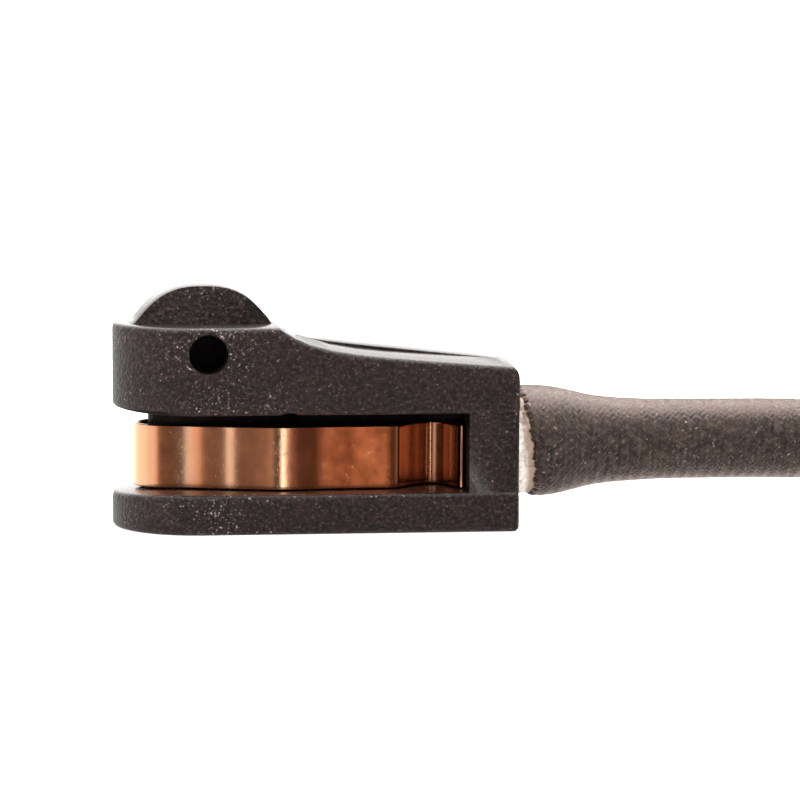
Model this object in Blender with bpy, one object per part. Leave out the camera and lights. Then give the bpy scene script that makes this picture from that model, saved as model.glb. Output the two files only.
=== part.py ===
"""Brake pad wear sensor: a moulded head with a spring clip, on a braided two-core lead.

Lengths are in metres. +Z is up, +X runs from the head's round tip to the cable, and the
origin is under the middle of the head and its sleeve, on the surface that they rest on.
"""
import math

import bmesh
import bpy
from mathutils import Matrix, Vector

MM = 0.001

# Moulded head
HEAD_LENGTH = 23.7 * MM
HEAD_WIDTH = 10.0 * MM
LOWER_FLANGE = 2.38 * MM
SLOT_HEIGHT = 4.64 * MM
UPPER_FLANGE = 5.12 * MM
FLANGE_EDGE = 0.30 * MM
CORNER_ROUND = 0.35 * MM
TIP_DROOP = 0.28 * MM
TIP_DROOP_LENGTH = 3.4 * MM
SHOULDER_CROWN = 0.29 * MM

# Ramp from the flat top down to the cable end, and the rib along its middle
RAMP_FROM_TIP = 9.49 * MM
RAMP_STEP = 1.32 * MM
RAMP_SETTLE = 1.75 * MM
RAMP_SLOPE = 0.0763
RAMP_END_ROUND = 0.55 * MM
RIB_WIDTH = 3.7 * MM
RIB_STEP = 0.77 * MM
RIB_SETTLE = 1.0 * MM
RIB_SLOPE = 0.105
RIB_TO_END = 0.3 * MM
RIB_END_ROUND = 0.7 * MM
RIB_EDGE = 0.08 * MM
RIB_ROOT = 2.2 * MM
RIB_PROUD = 0.02 * MM

# Dome that wears against the disc
DOME_FROM_TIP = 5.265 * MM
DOME_HALF_LENGTH = 4.04 * MM
DOME_RISE = 2.24 * MM
DOME_FULLNESS = 2.7
DOME_FILLET = 0.6 * MM

# Web between the flanges, with the waist that the clip grips, and the block at the cable end
WEB_FROM_TIP = 2.1 * MM
WEB_WIDTH = 3.2 * MM
WAIST_FROM_TIP = 18.6 * MM
WAIST_WIDTH = 1.24 * MM
WAIST_REACH = 1.9 * MM
BLOCK_LENGTH = 3.0 * MM
BLOCK_INSET = 0.17 * MM
SEAT_DEPTH = 0.9 * MM

# Holes that the mould's pins leave
SIDE_HOLE_DIAMETER = 2.32 * MM
SIDE_HOLE_FROM_TIP = 5.36 * MM
SIDE_HOLE_BELOW_TOP = 1.52 * MM
SIDE_HOLE_DEPTH = 3.2 * MM
PIN_HOLE_DIAMETER = 1.82 * MM
PIN_HOLE_FROM_TIP = 10.1 * MM
PIN_HOLE_BELOW_SLOT_TOP = 0.74 * MM
PIN_HOLE_DEPTH = 4.0 * MM

# Spring clip: a strip folded round the web, each entry a bend's place from the tip and its half width
SPRING_THICKNESS = 0.3 * MM
SPRING_SIDE_CLEARANCE = 0.08 * MM
SPRING_HEIGHT = 3.7 * MM
SPRING_NOSE_FROM_TIP = 3.11 * MM
SPRING_NOSE_RADIUS = 1.75 * MM
SPRING_BENDS = [
    (4.15 * MM, 1.95 * MM, 0.6 * MM),
    (5.15 * MM, 2.30 * MM, 0.6 * MM),
    (6.55 * MM, 2.62 * MM, 0.3 * MM),
    (6.85 * MM, 2.78 * MM, 0.3 * MM),
    (9.70 * MM, 3.42 * MM, 0.5 * MM),
    (10.60 * MM, 3.40 * MM, 0.5 * MM),
    (11.85 * MM, 3.13 * MM, 0.5 * MM),
    (16.55 * MM, 3.02 * MM, 0.6 * MM),
    (17.65 * MM, 1.62 * MM, 0.7 * MM),
    (18.60 * MM, 1.00 * MM, 0.8 * MM),
    (19.55 * MM, 1.62 * MM, 0.7 * MM),
]
SPRING_END = (20.35 * MM, 3.30 * MM)

# Cable end of the head: a cone under the braid, its glass-fibre layer and the braid's flare
CABLE_DIAMETER = 4.8 * MM
CABLE_HEIGHT = 4.81 * MM
SPIGOT_LENGTH = 3.75 * MM
SPIGOT_ROOT_DIAMETER = 4.9 * MM
SPIGOT_TIP_DIAMETER = 4.3 * MM
SLEEVE_REACH = 7.15 * MM
SLEEVE_WALL = 0.42 * MM
SLEEVE_STRAIGHT = 1.75 * MM
SLEEVE_START = 0.72 * MM
SLEEVE_TILT_DOWN = 7.0
SLEEVE_TILT_SIDE = 3.0
FIBRE_WALL = 0.26 * MM
FIBRE_LENGTH = 2.3 * MM
FIBRE_COLLAR_INSET = 0.12 * MM
FIT = 0.1 * MM

# Inner jacket, cores, crimps and the wire loop that the disc wears through
JACKET_DIAMETER = 3.4 * MM
JACKET_IN_HEAD = 0.95 * MM
CORE_DIAMETER = 1.3 * MM
CORE_SPACING = 1.6 * MM
CRIMP_DIAMETER = 1.7 * MM
CRIMP_LENGTH = 2.6 * MM
CRIMP_TO_END = 3.95 * MM
CRIMP_ABOVE_CABLE = 3.64 * MM
CRIMP_OVERLAP = 0.8 * MM
LOOP_DIAMETER = 1.0 * MM
LOOP_COVER = 0.62 * MM
LOOP_ABOVE_CRIMP = 0.32 * MM
LOOP_CLIMB_FROM_RAMP = 3.2 * MM
CORE_LAP = 0.12 * MM

# Coil of spare lead, which lies on the surface beyond the head
COIL_CENTRE_X = 68.5 * MM
COIL_RADIUS = 24.0 * MM
COIL_LIFT = 0.6 * MM
COIL_EDGE = 1.7 * MM
TOUCH = 0.3 * MM
TIE_ANGLE = 215.0
TIE_WIDTH = 3.2 * MM
TIE_THICKNESS = 0.45 * MM
TIE_GAP = 0.1 * MM
TIE_TAIL = 6.0 * MM

# Two-way plug on the far end, lying on the coil
PLUG_LENGTH = 20.0 * MM
PLUG_WIDTH = 12.0 * MM
PLUG_HEIGHT = 9.0 * MM
PLUG_WALL = 1.3 * MM
PLUG_EDGE = 0.8 * MM
PLUG_SOCKET_DEPTH = 8.0 * MM
PLUG_AXIS_FROM_COIL = 19.2 * MM
PLUG_START_FROM_COIL = 7.2 * MM
BOOT_LENGTH = 7.0 * MM
BOOT_TIP_DIAMETER = 6.0 * MM
BOOT_ROOT_DIAMETER = 8.4 * MM
BOOT_LAP = 1.6 * MM
SEAL_THICKNESS = 0.9 * MM
SEAL_LENGTH = 1.8 * MM
SEAL_FROM_REAR = 3.0 * MM
SEAL_PROUD = 0.35 * MM
CONTACT_DIAMETER = 1.2 * MM
CONTACT_SPACING = 3.6 * MM
CONTACT_LENGTH = 9.5 * MM
CONTACT_IN_HOUSING = 3.2 * MM
LOCK_LENGTH = 9.0 * MM
LOCK_WIDTH = 5.0 * MM
LOCK_HEIGHT = 1.1 * MM
LOCK_FROM_FRONT = 2.5 * MM

# How finely round shapes are divided
WIDE_SIDES = 28
MIDDLE_SIDES = 20
NARROW_SIDES = 12
WIRE_SIDES = 8
COIL_SIDES = 44
WIRE_STEP = 1.0 * MM

# Places that follow from the sizes above
RIGID_LENGTH = HEAD_LENGTH + SLEEVE_REACH
TIP_X = -RIGID_LENGTH / 2
END_X = TIP_X + HEAD_LENGTH
HALF_WIDTH = HEAD_WIDTH / 2
ROUND_X = TIP_X + HALF_WIDTH
SLOT_TOP = LOWER_FLANGE + SLOT_HEIGHT
HEAD_TOP = SLOT_TOP + UPPER_FLANGE
DOME_X = TIP_X + DOME_FROM_TIP
RAMP_X = TIP_X + RAMP_FROM_TIP
BLOCK_X = END_X - BLOCK_LENGTH
CABLE_RADIUS = CABLE_DIAMETER / 2
COIL_CENTRE = Vector((COIL_CENTRE_X, COIL_RADIUS + CABLE_RADIUS, 0.0))
COIL_TOP = COIL_LIFT + 2 * CABLE_DIAMETER
CABLE_AXIS = Vector((END_X, 0.0, CABLE_HEIGHT))
SLEEVE_DIAMETER = SPIGOT_ROOT_DIAMETER + 2 * (FIT + FIBRE_WALL + FIT + SLEEVE_WALL)

# Lead from the sleeve to the coil, and from the coil up to the plug; the second is from the coil's centre
LEAD_ROUTE = [
    (15.73, 0.0, 4.81),
    (20.5, 0.0, 4.82),
    (26.5, 0.0, 4.74),
    (32.0, 0.0, 4.30),
    (37.5, 0.0, 3.45),
    (43.0, 0.0, 2.75),
    (48.0, 0.0, 2.62),
    (52.3, 0.0, 2.80),
]
TAIL_ROUTE = [
    (22.0, 0.0, 12.90),
    (21.5, 5.0, 12.95),
    (19.5, 9.8, 13.10),
    (16.2, 13.8, 13.50),
    (12.0, 16.9, 14.05),
    (7.5, 18.7, 14.65),
    (3.0, 19.2, 14.98),
    (0.4, 19.2, 15.00),
]

MATERIALS = {
    "head_plastic": ((0.030, 0.025, 0.024, 1.0), 0.45, 0.0),
    "spring_copper": ((0.78, 0.38, 0.20, 1.0), 0.22, 1.0),
    "braid": ((0.055, 0.042, 0.038, 1.0), 0.75, 0.0),
    "glass_fibre": ((0.80, 0.77, 0.72, 1.0), 0.85, 0.0),
    "jacket_rubber": ((0.03, 0.03, 0.032, 1.0), 0.6, 0.0),
    "core_insulation": ((0.45, 0.10, 0.06, 1.0), 0.5, 0.0),
    "tinned_metal": ((0.70, 0.70, 0.68, 1.0), 0.3, 1.0),
    "plug_plastic": ((0.035, 0.035, 0.038, 1.0), 0.4, 0.0),
    "seal_rubber": ((0.60, 0.19, 0.06, 1.0), 0.6, 0.0),
    "lock_plastic": ((0.62, 0.60, 0.55, 1.0), 0.4, 0.0),
    "tie_plastic": ((0.025, 0.025, 0.027, 1.0), 0.5, 0.0),
}


def material(name):
    """Return the named material, made the first time it is asked for."""
    found = bpy.data.materials.get(name)
    if found:
        return found
    colour, roughness, metallic = MATERIALS[name]
    made = bpy.data.materials.new(name)
    made.use_nodes = True
    made.diffuse_color = colour
    shader = made.node_tree.nodes["Principled BSDF"]
    shader.inputs["Base Color"].default_value = colour
    shader.inputs["Roughness"].default_value = roughness
    shader.inputs["Metallic"].default_value = metallic
    return made


def add_object(name, bm, material_name, smooth_angle=35.0):
    """Turn a bmesh into a named object with its material, facing out and shaded smooth."""
    bmesh.ops.recalc_face_normals(bm, faces=bm.faces)
    mesh = bpy.data.meshes.new(name)
    bm.to_mesh(mesh)
    bm.free()
    mesh.materials.append(material(material_name))
    mesh.shade_smooth()
    mesh.set_sharp_from_angle(angle=math.radians(smooth_angle))
    made = bpy.data.objects.new(name, mesh)
    bpy.context.scene.collection.objects.link(made)
    return made


def apply_boolean(target, tool, operation):
    """Join, cut or intersect the target with a tool object, and remove the tool."""
    modifier = target.modifiers.new(operation.lower(), "BOOLEAN")
    modifier.operation = operation
    modifier.solver = "EXACT"
    modifier.object = tool
    view_layer = bpy.context.view_layer
    view_layer.update()
    evaluated = target.evaluated_get(view_layer.depsgraph)
    result = bpy.data.meshes.new_from_object(evaluated)
    old = target.data
    target.modifiers.clear()
    target.data = result
    result.name = target.name
    bpy.data.meshes.remove(old)
    bpy.data.objects.remove(tool)
    return target


def join(target, *tools):
    for tool in tools:
        apply_boolean(target, tool, "UNION")
    return target


def cut(target, *tools):
    for tool in tools:
        apply_boolean(target, tool, "DIFFERENCE")
    return target


def prism(outline, direction, start, end):
    """Extrude a closed outline along Z, or an (x, z) profile along Y."""
    bm = bmesh.new()
    if direction == "Z":
        corners = [bm.verts.new((a, b, start)) for a, b in outline]
        shift = Vector((0, 0, end - start))
    else:
        corners = [bm.verts.new((a, start, b)) for a, b in outline]
        shift = Vector((0, end - start, 0))
    base = bm.faces.new(corners)
    extruded = bmesh.ops.extrude_face_region(bm, geom=[base])
    moved = [item for item in extruded["geom"] if isinstance(item, bmesh.types.BMVert)]
    bmesh.ops.translate(bm, verts=moved, vec=shift)
    bmesh.ops.recalc_face_normals(bm, faces=bm.faces)
    return bm


def box(low, high):
    outline = [(low[0], low[1]), (high[0], low[1]), (high[0], high[1]), (low[0], high[1])]
    return prism(outline, "Z", low[2], high[2])


def arc(centre, radius, start, end, steps):
    """Points on an arc, with angles in degrees, both ends included."""
    points = []
    for step in range(steps + 1):
        angle = math.radians(start + (end - start) * step / steps)
        points.append((centre[0] + radius * math.cos(angle), centre[1] + radius * math.sin(angle)))
    return points


def turned(profile, segments, closed):
    """Turn (x, radius) points about the X axis; a closed profile makes a ring."""
    bm = bmesh.new()
    rings = []
    for x, radius in profile:
        if radius == 0.0:
            rings.append([bm.verts.new((x, 0, 0))])
            continue
        ring = []
        for step in range(segments):
            angle = 2 * math.pi * step / segments
            ring.append(bm.verts.new((x, radius * math.cos(angle), radius * math.sin(angle))))
        rings.append(ring)
    pairs = list(zip(rings, rings[1:]))
    if closed:
        pairs.append((rings[-1], rings[0]))
    for ring, after in pairs:
        for step in range(segments):
            follow = (step + 1) % segments
            corners = [ring[step % len(ring)], ring[follow % len(ring)]]
            corners += [after[follow % len(after)], after[step % len(after)]]
            distinct = list(dict.fromkeys(corners))
            bm.faces.new(distinct)
    bmesh.ops.recalc_face_normals(bm, faces=bm.faces)
    return bm


def smooth_curve(points, spacing):
    """Read points off a smooth curve through the given ones, about one spacing apart."""
    knots = [Vector(point) for point in points]
    knots = [knots[0] * 2 - knots[1]] + knots + [knots[-1] * 2 - knots[-2]]
    read = []
    for index in range(1, len(knots) - 2):
        before, start, end, after = knots[index - 1:index + 3]
        steps = max(1, round((end - start).length / spacing))
        for step in range(steps):
            t = step / steps
            bend = (2 * before - 5 * start + 4 * end - after) * t * t
            twist = (3 * start - before - 3 * end + after) * t * t * t
            read.append((2 * start + (end - before) * t + bend + twist) / 2)
    read.append(knots[-2])
    return read


def swept(points, radius, sides):
    """A closed round tube along the points, with flat ends."""
    bm = bmesh.new()
    rings = []
    across = Vector((0, 1, 0))
    for index, point in enumerate(points):
        ahead = points[min(index + 1, len(points) - 1)]
        behind = points[max(index - 1, 0)]
        along = (ahead - behind).normalized()
        across = (across - along * across.dot(along)).normalized()
        up = along.cross(across)
        ring = []
        for side in range(sides):
            angle = 2 * math.pi * (side + 0.5) / sides
            ring.append(bm.verts.new(point + (across * math.cos(angle) + up * math.sin(angle)) * radius))
        rings.append(ring)
    for ring, after in zip(rings, rings[1:]):
        for side in range(sides):
            follow = (side + 1) % sides
            bm.faces.new((ring[side], ring[follow], after[follow], after[side]))
    bm.faces.new(rings[0])
    bm.faces.new(rings[-1])
    bmesh.ops.recalc_face_normals(bm, faces=bm.faces)
    return bm


def cord_tube(name, points, diameter):
    """A plain round cord as a bevelled curve with filled ends."""
    curve = bpy.data.curves.new(name, "CURVE")
    curve.dimensions = "3D"
    curve.bevel_depth = diameter / 2
    curve.bevel_resolution = 3
    curve.use_fill_caps = True
    spline = curve.splines.new("POLY")
    spline.points.add(len(points) - 1)
    for item, point in zip(spline.points, points):
        item.co = (*point, 1.0)
    curve.materials.append(material("braid"))
    made = bpy.data.objects.new(name, curve)
    bpy.context.scene.collection.objects.link(made)
    return made


def ramp_height(x):
    """Height of the shoulders' outer edge along the head."""
    height = HEAD_TOP
    along = x - RAMP_X
    if along > 0:
        height -= RAMP_SLOPE * along + RAMP_STEP * (1 - math.exp(-along / RAMP_SETTLE))
    past = x - (END_X - RAMP_END_ROUND)
    if past > 0:
        height -= RAMP_END_ROUND - math.sqrt(max(0.0, RAMP_END_ROUND ** 2 - past ** 2))
    return height


def rib_height(x):
    along = x - RAMP_X
    return HEAD_TOP + RIB_PROUD - RIB_SLOPE * along - RIB_STEP * (1 - math.exp(-along / RIB_SETTLE))


def tip_droop(x):
    """How far a slot face falls away towards the tip, to lead the backing plate in."""
    share = (TIP_X + TIP_DROOP_LENGTH - x) / TIP_DROOP_LENGTH
    return TIP_DROOP * max(0.0, share) ** 2


def crown(x):
    """How much higher the shoulders' middle line would lie than their outer edge."""
    share = min(1.0, max(0.0, (x - RAMP_X) / RAMP_SETTLE))
    return SHOULDER_CROWN * share * share * (3 - 2 * share)


def flange_side():
    """Half of the flange's outline, cable end to tip, as (x, y, outward x, outward y)."""
    stations = [(END_X, 0.0, 1.0, 0.0)]
    corner_x = END_X - CORNER_ROUND
    corner_y = -(HALF_WIDTH - CORNER_ROUND)
    for step in range(3):
        angle = math.radians(-45.0 * step)
        nx, ny = math.cos(angle), math.sin(angle)
        stations.append((corner_x + CORNER_ROUND * nx, corner_y + CORNER_ROUND * ny, nx, ny))
    straight = [END_X - RAMP_END_ROUND * share for share in (0.8, 1.3)]
    span = straight[-1] - RAMP_X
    straight += [RAMP_X + span * (share / 9) ** 1.8 for share in range(8, -1, -1)]
    straight += [(RAMP_X + ROUND_X) / 2]
    for x in straight:
        if x < corner_x - CORNER_ROUND / 5:
            stations.append((x, -HALF_WIDTH, 0.0, -1.0))
    for step in range(13):
        angle = math.radians(-90.0 - 7.5 * step)
        nx, ny = math.cos(angle), math.sin(angle)
        stations.append((ROUND_X + HALF_WIDTH * nx, HALF_WIDTH * ny, nx, ny))
    stations[-1] = (TIP_X, 0.0, -1.0, 0.0)
    return stations


def flange(bottom, top, middle_rise):
    """A flange as rings up its rounded edge, closed by strips across its two faces."""
    bm = bmesh.new()
    near = flange_side()
    last = len(near) - 1
    around = near + [(x, -y, nx, -ny) for x, y, nx, ny in reversed(near[1:last])]
    count = len(around)
    levels = []
    for step in range(4):
        angle = math.radians(30.0 * step)
        levels.append((FLANGE_EDGE * (1 - math.sin(angle)), bottom, FLANGE_EDGE * (1 - math.cos(angle))))
    for step in range(4):
        angle = math.radians(30.0 * (3 - step))
        levels.append((FLANGE_EDGE * (1 - math.sin(angle)), top, -FLANGE_EDGE * (1 - math.cos(angle))))
    rings = []
    for inset, face, offset in levels:
        ring = []
        for x, y, nx, ny in around:
            place_x, place_y = x - nx * inset, y - ny * inset
            ring.append(bm.verts.new((place_x, place_y, face(place_x) + offset)))
        rings.append(ring)
    for ring, above in zip(rings, rings[1:]):
        for index in range(count):
            follow = (index + 1) % count
            bm.faces.new((ring[index], ring[follow], above[follow], above[index]))
    for ring, face, rise in ((rings[0], bottom, None), (rings[-1], top, middle_rise)):
        middles = [ring[0]]
        for index in range(1, last):
            x = ring[index].co.x
            middles.append(bm.verts.new((x, 0.0, face(x) + (rise(x) if rise else 0.0))))
        middles.append(ring[last])
        for index in range(last):
            inward = [middles[index + 1], middles[index]]
            near_side = [ring[index], ring[index + 1]] + inward
            far_side = [ring[(count - index) % count], ring[count - index - 1]] + inward
            bm.faces.new(list(dict.fromkeys(near_side)))
            bm.faces.new(list(dict.fromkeys(far_side)))
    bmesh.ops.recalc_face_normals(bm, faces=bm.faces)
    return bm


def dome_profile():
    """Side view of the dome and its rib, from the tip to the cable end, closed inside the flange."""
    foot_slope = math.atan(DOME_FULLNESS * DOME_RISE / DOME_HALF_LENGTH)
    foot = DOME_FILLET * math.tan(foot_slope / 2)
    fillet_centre = (DOME_X - DOME_HALF_LENGTH - foot, HEAD_TOP + DOME_FILLET)
    points = arc(fillet_centre, DOME_FILLET, -90, math.degrees(foot_slope) - 90, 3)
    first = math.acos(1 - foot * math.cos(foot_slope) / DOME_HALF_LENGTH)
    for step in range(1, 24):
        angle = first + (math.pi - first) * step / 24
        along = -math.cos(angle)
        rise = DOME_RISE * (1 - abs(along) ** DOME_FULLNESS)
        points.append((DOME_X + DOME_HALF_LENGTH * along, HEAD_TOP + rise))
    rib_end = END_X - RIB_TO_END
    run = rib_end - RIB_END_ROUND - RAMP_X
    for step in range(1, 11):
        x = RAMP_X + run * (step / 10) ** 1.6
        points.append((x, rib_height(x)))
    height = points[-1][1]
    points += arc((rib_end - RIB_END_ROUND, height - RIB_END_ROUND), RIB_END_ROUND, 72, 0, 4)
    points.append((rib_end, SLOT_TOP + RIB_ROOT))
    points.append((points[0][0], SLOT_TOP + RIB_ROOT))
    return points


def dome_and_rib():
    profile = dome_profile()
    bm = prism(profile, "Y", -RIB_WIDTH / 2, RIB_WIDTH / 2)
    rim = []
    for edge in bm.edges:
        first, second = edge.verts
        same_side = abs(first.co.y - second.co.y) < 0.01 * MM
        above = min(first.co.z, second.co.z) > SLOT_TOP + RIB_ROOT + 0.01 * MM
        if same_side and above:
            rim.append(edge)
    bmesh.ops.bevel(bm, geom=rim, offset=RIB_EDGE, segments=2, profile=0.5, affect="EDGES")
    return bm


def web_outline():
    """Plan of the web, from its round nose past the waist into the end block."""
    nose_x = TIP_X + WEB_FROM_TIP + WEB_WIDTH / 2
    near = arc((nose_x, 0.0), WEB_WIDTH / 2, 180, 270, 8)
    waist_x = TIP_X + WAIST_FROM_TIP
    for step in range(13):
        share = step / 6 - 1
        half = WAIST_WIDTH / 2 + (WEB_WIDTH - WAIST_WIDTH) / 4 * (1 - math.cos(math.pi * share))
        near.append((waist_x + WAIST_REACH * share, -half))
    near.append((BLOCK_X + SEAT_DEPTH, -WEB_WIDTH / 2))
    far = [(x, -y) for x, y in reversed(near[1:])]
    return near + far


def block_outline():
    half = HALF_WIDTH - BLOCK_INSET
    corner = (END_X - CORNER_ROUND, half - CORNER_ROUND)
    near = [(BLOCK_X, -half)] + arc((corner[0], -corner[1]), CORNER_ROUND, -90, 0, 3)
    far = [(x, -y) for x, y in reversed(near)]
    return near + far


def core_route(side):
    """Route of one core from the jacket up over the slot to its crimp."""
    spread = side * CORE_SPACING / 2
    crimp = crimp_place(side)
    jacket_x = END_X - JACKET_IN_HEAD
    rise = crimp[2] - CABLE_HEIGHT
    reach = jacket_x - (crimp[0] + CRIMP_LENGTH - CRIMP_OVERLAP)
    return [
        (END_X + SLEEVE_REACH, spread, CABLE_HEIGHT),
        (jacket_x + 0.1 * reach, spread, CABLE_HEIGHT),
        (jacket_x - 0.08 * reach, spread, CABLE_HEIGHT + 0.03 * rise),
        (jacket_x - 0.28 * reach, spread, CABLE_HEIGHT + 0.34 * rise),
        (jacket_x - 0.42 * reach, spread, CABLE_HEIGHT + 0.72 * rise),
        (jacket_x - 0.66 * reach, crimp[1], CABLE_HEIGHT + 0.97 * rise),
        (crimp[0] + CRIMP_LENGTH - CRIMP_OVERLAP, crimp[1], crimp[2]),
    ]


def crimp_place(side):
    """Middle of a crimp's end that faces the dome."""
    spread = side * (CRIMP_DIAMETER / 2 + FIT)
    return (END_X - CRIMP_TO_END - CRIMP_LENGTH, spread, CABLE_HEIGHT + CRIMP_ABOVE_CABLE)


def loop_route():
    """The wear loop, from one crimp through the dome's crest and back to the other crimp."""
    start = crimp_place(-1)
    crest = HEAD_TOP + DOME_RISE - LOOP_COVER - LOOP_DIAMETER / 2
    low = start[2] + LOOP_ABOVE_CRIMP
    climb = RAMP_X + LOOP_CLIMB_FROM_RAMP
    leg = CORE_SPACING / 2
    half = [
        (start[0] + CRIMP_OVERLAP, start[1], start[2]),
        (start[0] - 0.5 * MM, start[1], start[2] + 0.05 * MM),
        (climb, -leg, low),
        (RAMP_X + 0.4 * MM, -leg, low + 0.35 * (crest - low)),
        (DOME_X + 0.72 * DOME_HALF_LENGTH, -leg, low + 0.62 * (crest - low)),
        (DOME_X + 0.42 * DOME_HALF_LENGTH, -leg, low + 0.88 * (crest - low)),
        (DOME_X, -leg, crest),
        (DOME_X - 0.6 * leg, -0.8 * leg, crest),
    ]
    turn = [(DOME_X - leg, 0.0, crest)]
    return half + turn + [(x, -y, z) for x, y, z in reversed(half)]


def cable_end(bm):
    """Move a shape turned about the X axis onto the cable's axis at the head's end face."""
    bmesh.ops.translate(bm, verts=bm.verts, vec=CABLE_AXIS)
    return bm


def make_head():
    """The moulded body, in one piece, with the channels that the wires fill."""
    lower = flange(lambda x: 0.0, lambda x: LOWER_FLANGE - tip_droop(x), None)
    upper = flange(lambda x: SLOT_TOP + tip_droop(x) / 2, ramp_height, crown)
    body = add_object("sensor_body", lower, "head_plastic")
    web = prism(web_outline(), "Z", LOWER_FLANGE - SEAT_DEPTH, SLOT_TOP + SEAT_DEPTH)
    block = prism(block_outline(), "Z", LOWER_FLANGE - SEAT_DEPTH, SLOT_TOP + SEAT_DEPTH)
    spigot = cable_end(turned([
        (-SEAT_DEPTH, 0.0),
        (-SEAT_DEPTH, SPIGOT_ROOT_DIAMETER / 2),
        (0.0, SPIGOT_ROOT_DIAMETER / 2),
        (SPIGOT_LENGTH, SPIGOT_TIP_DIAMETER / 2),
        (SPIGOT_LENGTH, 0.0),
    ], WIDE_SIDES, False))
    parts = (("web", web), ("block", block), ("upper", upper), ("dome", dome_and_rib()), ("spigot", spigot))
    for label, shape in parts:
        join(body, add_object(label, shape, "head_plastic"))
    cut_mould_pins(body)
    cut_wire_channels(body)
    finish_head(body)
    return body


def cut_mould_pins(body):
    holes = (
        (SIDE_HOLE_FROM_TIP, HEAD_TOP - SIDE_HOLE_BELOW_TOP, SIDE_HOLE_DIAMETER, SIDE_HOLE_DEPTH),
        (PIN_HOLE_FROM_TIP, SLOT_TOP - PIN_HOLE_BELOW_SLOT_TOP, PIN_HOLE_DIAMETER, PIN_HOLE_DEPTH),
    )
    for from_tip, height, diameter, depth in holes:
        ring = arc((TIP_X + from_tip, height), diameter / 2, 0, 360, WIDE_SIDES)[:-1]
        for side in (-1, 1):
            inner, outer = side * (HALF_WIDTH - depth), side * (HALF_WIDTH + SEAT_DEPTH)
            drill = add_object("drill", prism(ring, "Y", inner, outer), "head_plastic")
            cut(body, drill)


def cut_wire_channels(body):
    """Cut the jacket's bore, the cores' channels, the crimps' pockets and the loop's channel."""
    bore = cable_end(turned([
        (-JACKET_IN_HEAD - FIT, 0.0),
        (-JACKET_IN_HEAD - FIT, JACKET_DIAMETER / 2 + FIT),
        (SPIGOT_LENGTH + SEAT_DEPTH, JACKET_DIAMETER / 2 + FIT),
        (SPIGOT_LENGTH + SEAT_DEPTH, 0.0),
    ], MIDDLE_SIDES, False))
    cut(body, add_object("bore", bore, "head_plastic"))
    for side in (-1, 1):
        route = smooth_curve(core_route(side)[1:], WIRE_STEP)
        channel = swept(route, CORE_DIAMETER / 2 + FIT, NARROW_SIDES)
        cut(body, add_object("core_channel", channel, "head_plastic"))
        start = crimp_place(side)
        pocket = [Vector((start[0] - FIT, start[1], start[2])),
                  Vector((start[0] + CRIMP_LENGTH + FIT, start[1], start[2]))]
        space = swept(pocket, CRIMP_DIAMETER / 2 + FIT, NARROW_SIDES)
        cut(body, add_object("crimp_pocket", space, "head_plastic"))
    loop = swept(smooth_curve(loop_route(), WIRE_STEP), LOOP_DIAMETER / 2 + FIT, NARROW_SIDES)
    cut(body, add_object("loop_channel", loop, "head_plastic"))


def finish_head(body):
    bm = bmesh.new()
    bm.from_mesh(body.data)
    bmesh.ops.remove_doubles(bm, verts=bm.verts, dist=0.002 * MM)
    bmesh.ops.dissolve_degenerate(bm, edges=bm.edges, dist=0.001 * MM)
    bm.to_mesh(body.data)
    bm.free()
    body.data.materials.clear()
    body.data.materials.append(material("head_plastic"))
    body.data.shade_smooth()
    body.data.set_sharp_from_angle(angle=math.radians(32))


def rounded_path(points):
    """Replace each bend of a path of (x, y, radius) by a short arc."""
    path = [Vector(points[0][:2])]
    for before, bend, after in zip(points, points[1:], points[2:]):
        corner = Vector(bend[:2])
        back = Vector(before[:2]) - corner
        ahead = Vector(after[:2]) - corner
        turn = math.pi - back.angle(ahead)
        reach = min(bend[2] * math.tan(turn / 2), 0.48 * back.length, 0.48 * ahead.length)
        start = corner + back.normalized() * reach
        end = corner + ahead.normalized() * reach
        steps = max(2, math.ceil(math.degrees(turn) / 16))
        for step in range(steps + 1):
            t = step / steps
            path.append(start * (1 - t) ** 2 + corner * 2 * t * (1 - t) + end * t * t)
    path.append(Vector(points[-1][:2]))
    return path


def spring_line():
    """Middle line of the clip's near half, from its nose to its flared end."""
    centre = (TIP_X + SPRING_NOSE_FROM_TIP, 0.0)
    nose = [Vector(point) for point in arc(centre, SPRING_NOSE_RADIUS, 180, 252, 9)]
    bends = [(nose[-1].x, nose[-1].y, 0.0)]
    bends += [(TIP_X + x, -half, radius) for x, half, radius in SPRING_BENDS]
    bends.append((TIP_X + SPRING_END[0], -SPRING_END[1], 0.0))
    return nose[:-1] + rounded_path(bends)


def make_spring():
    """The clip, a strip on edge folded round the web's nose and pinched at the waist."""
    line = spring_line()
    outer, inner = [], []
    for index, point in enumerate(line):
        behind = line[index - 1] if index else Vector((line[1].x, -line[1].y))
        ahead = line[min(index + 1, len(line) - 1)]
        along = (ahead - behind).normalized()
        away = Vector((along.y, -along.x)) * SPRING_THICKNESS / 2
        outer.append(point + away)
        inner.append(point - away)
    far_outer = [Vector((point.x, -point.y)) for point in outer[1:]]
    far_inner = [Vector((point.x, -point.y)) for point in inner[1:]]
    outline = outer[::-1] + far_outer + far_inner[::-1] + inner
    base = LOWER_FLANGE + SPRING_SIDE_CLEARANCE
    strip = prism([(point.x, point.y) for point in outline], "Z", base, base + SPRING_HEIGHT)
    return add_object("retaining_spring", strip, "spring_copper", 25.0)


def sleeve_radius(along):
    """Outer radius of the braid at a distance from the head's end face."""
    share = (along - SLEEVE_STRAIGHT) / (SLEEVE_REACH - SLEEVE_STRAIGHT)
    share = min(1.0, max(0.0, share))
    ease = share * share * (3 - 2 * share)
    return SLEEVE_DIAMETER / 2 + (CABLE_RADIUS - SLEEVE_DIAMETER / 2) * ease


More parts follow.
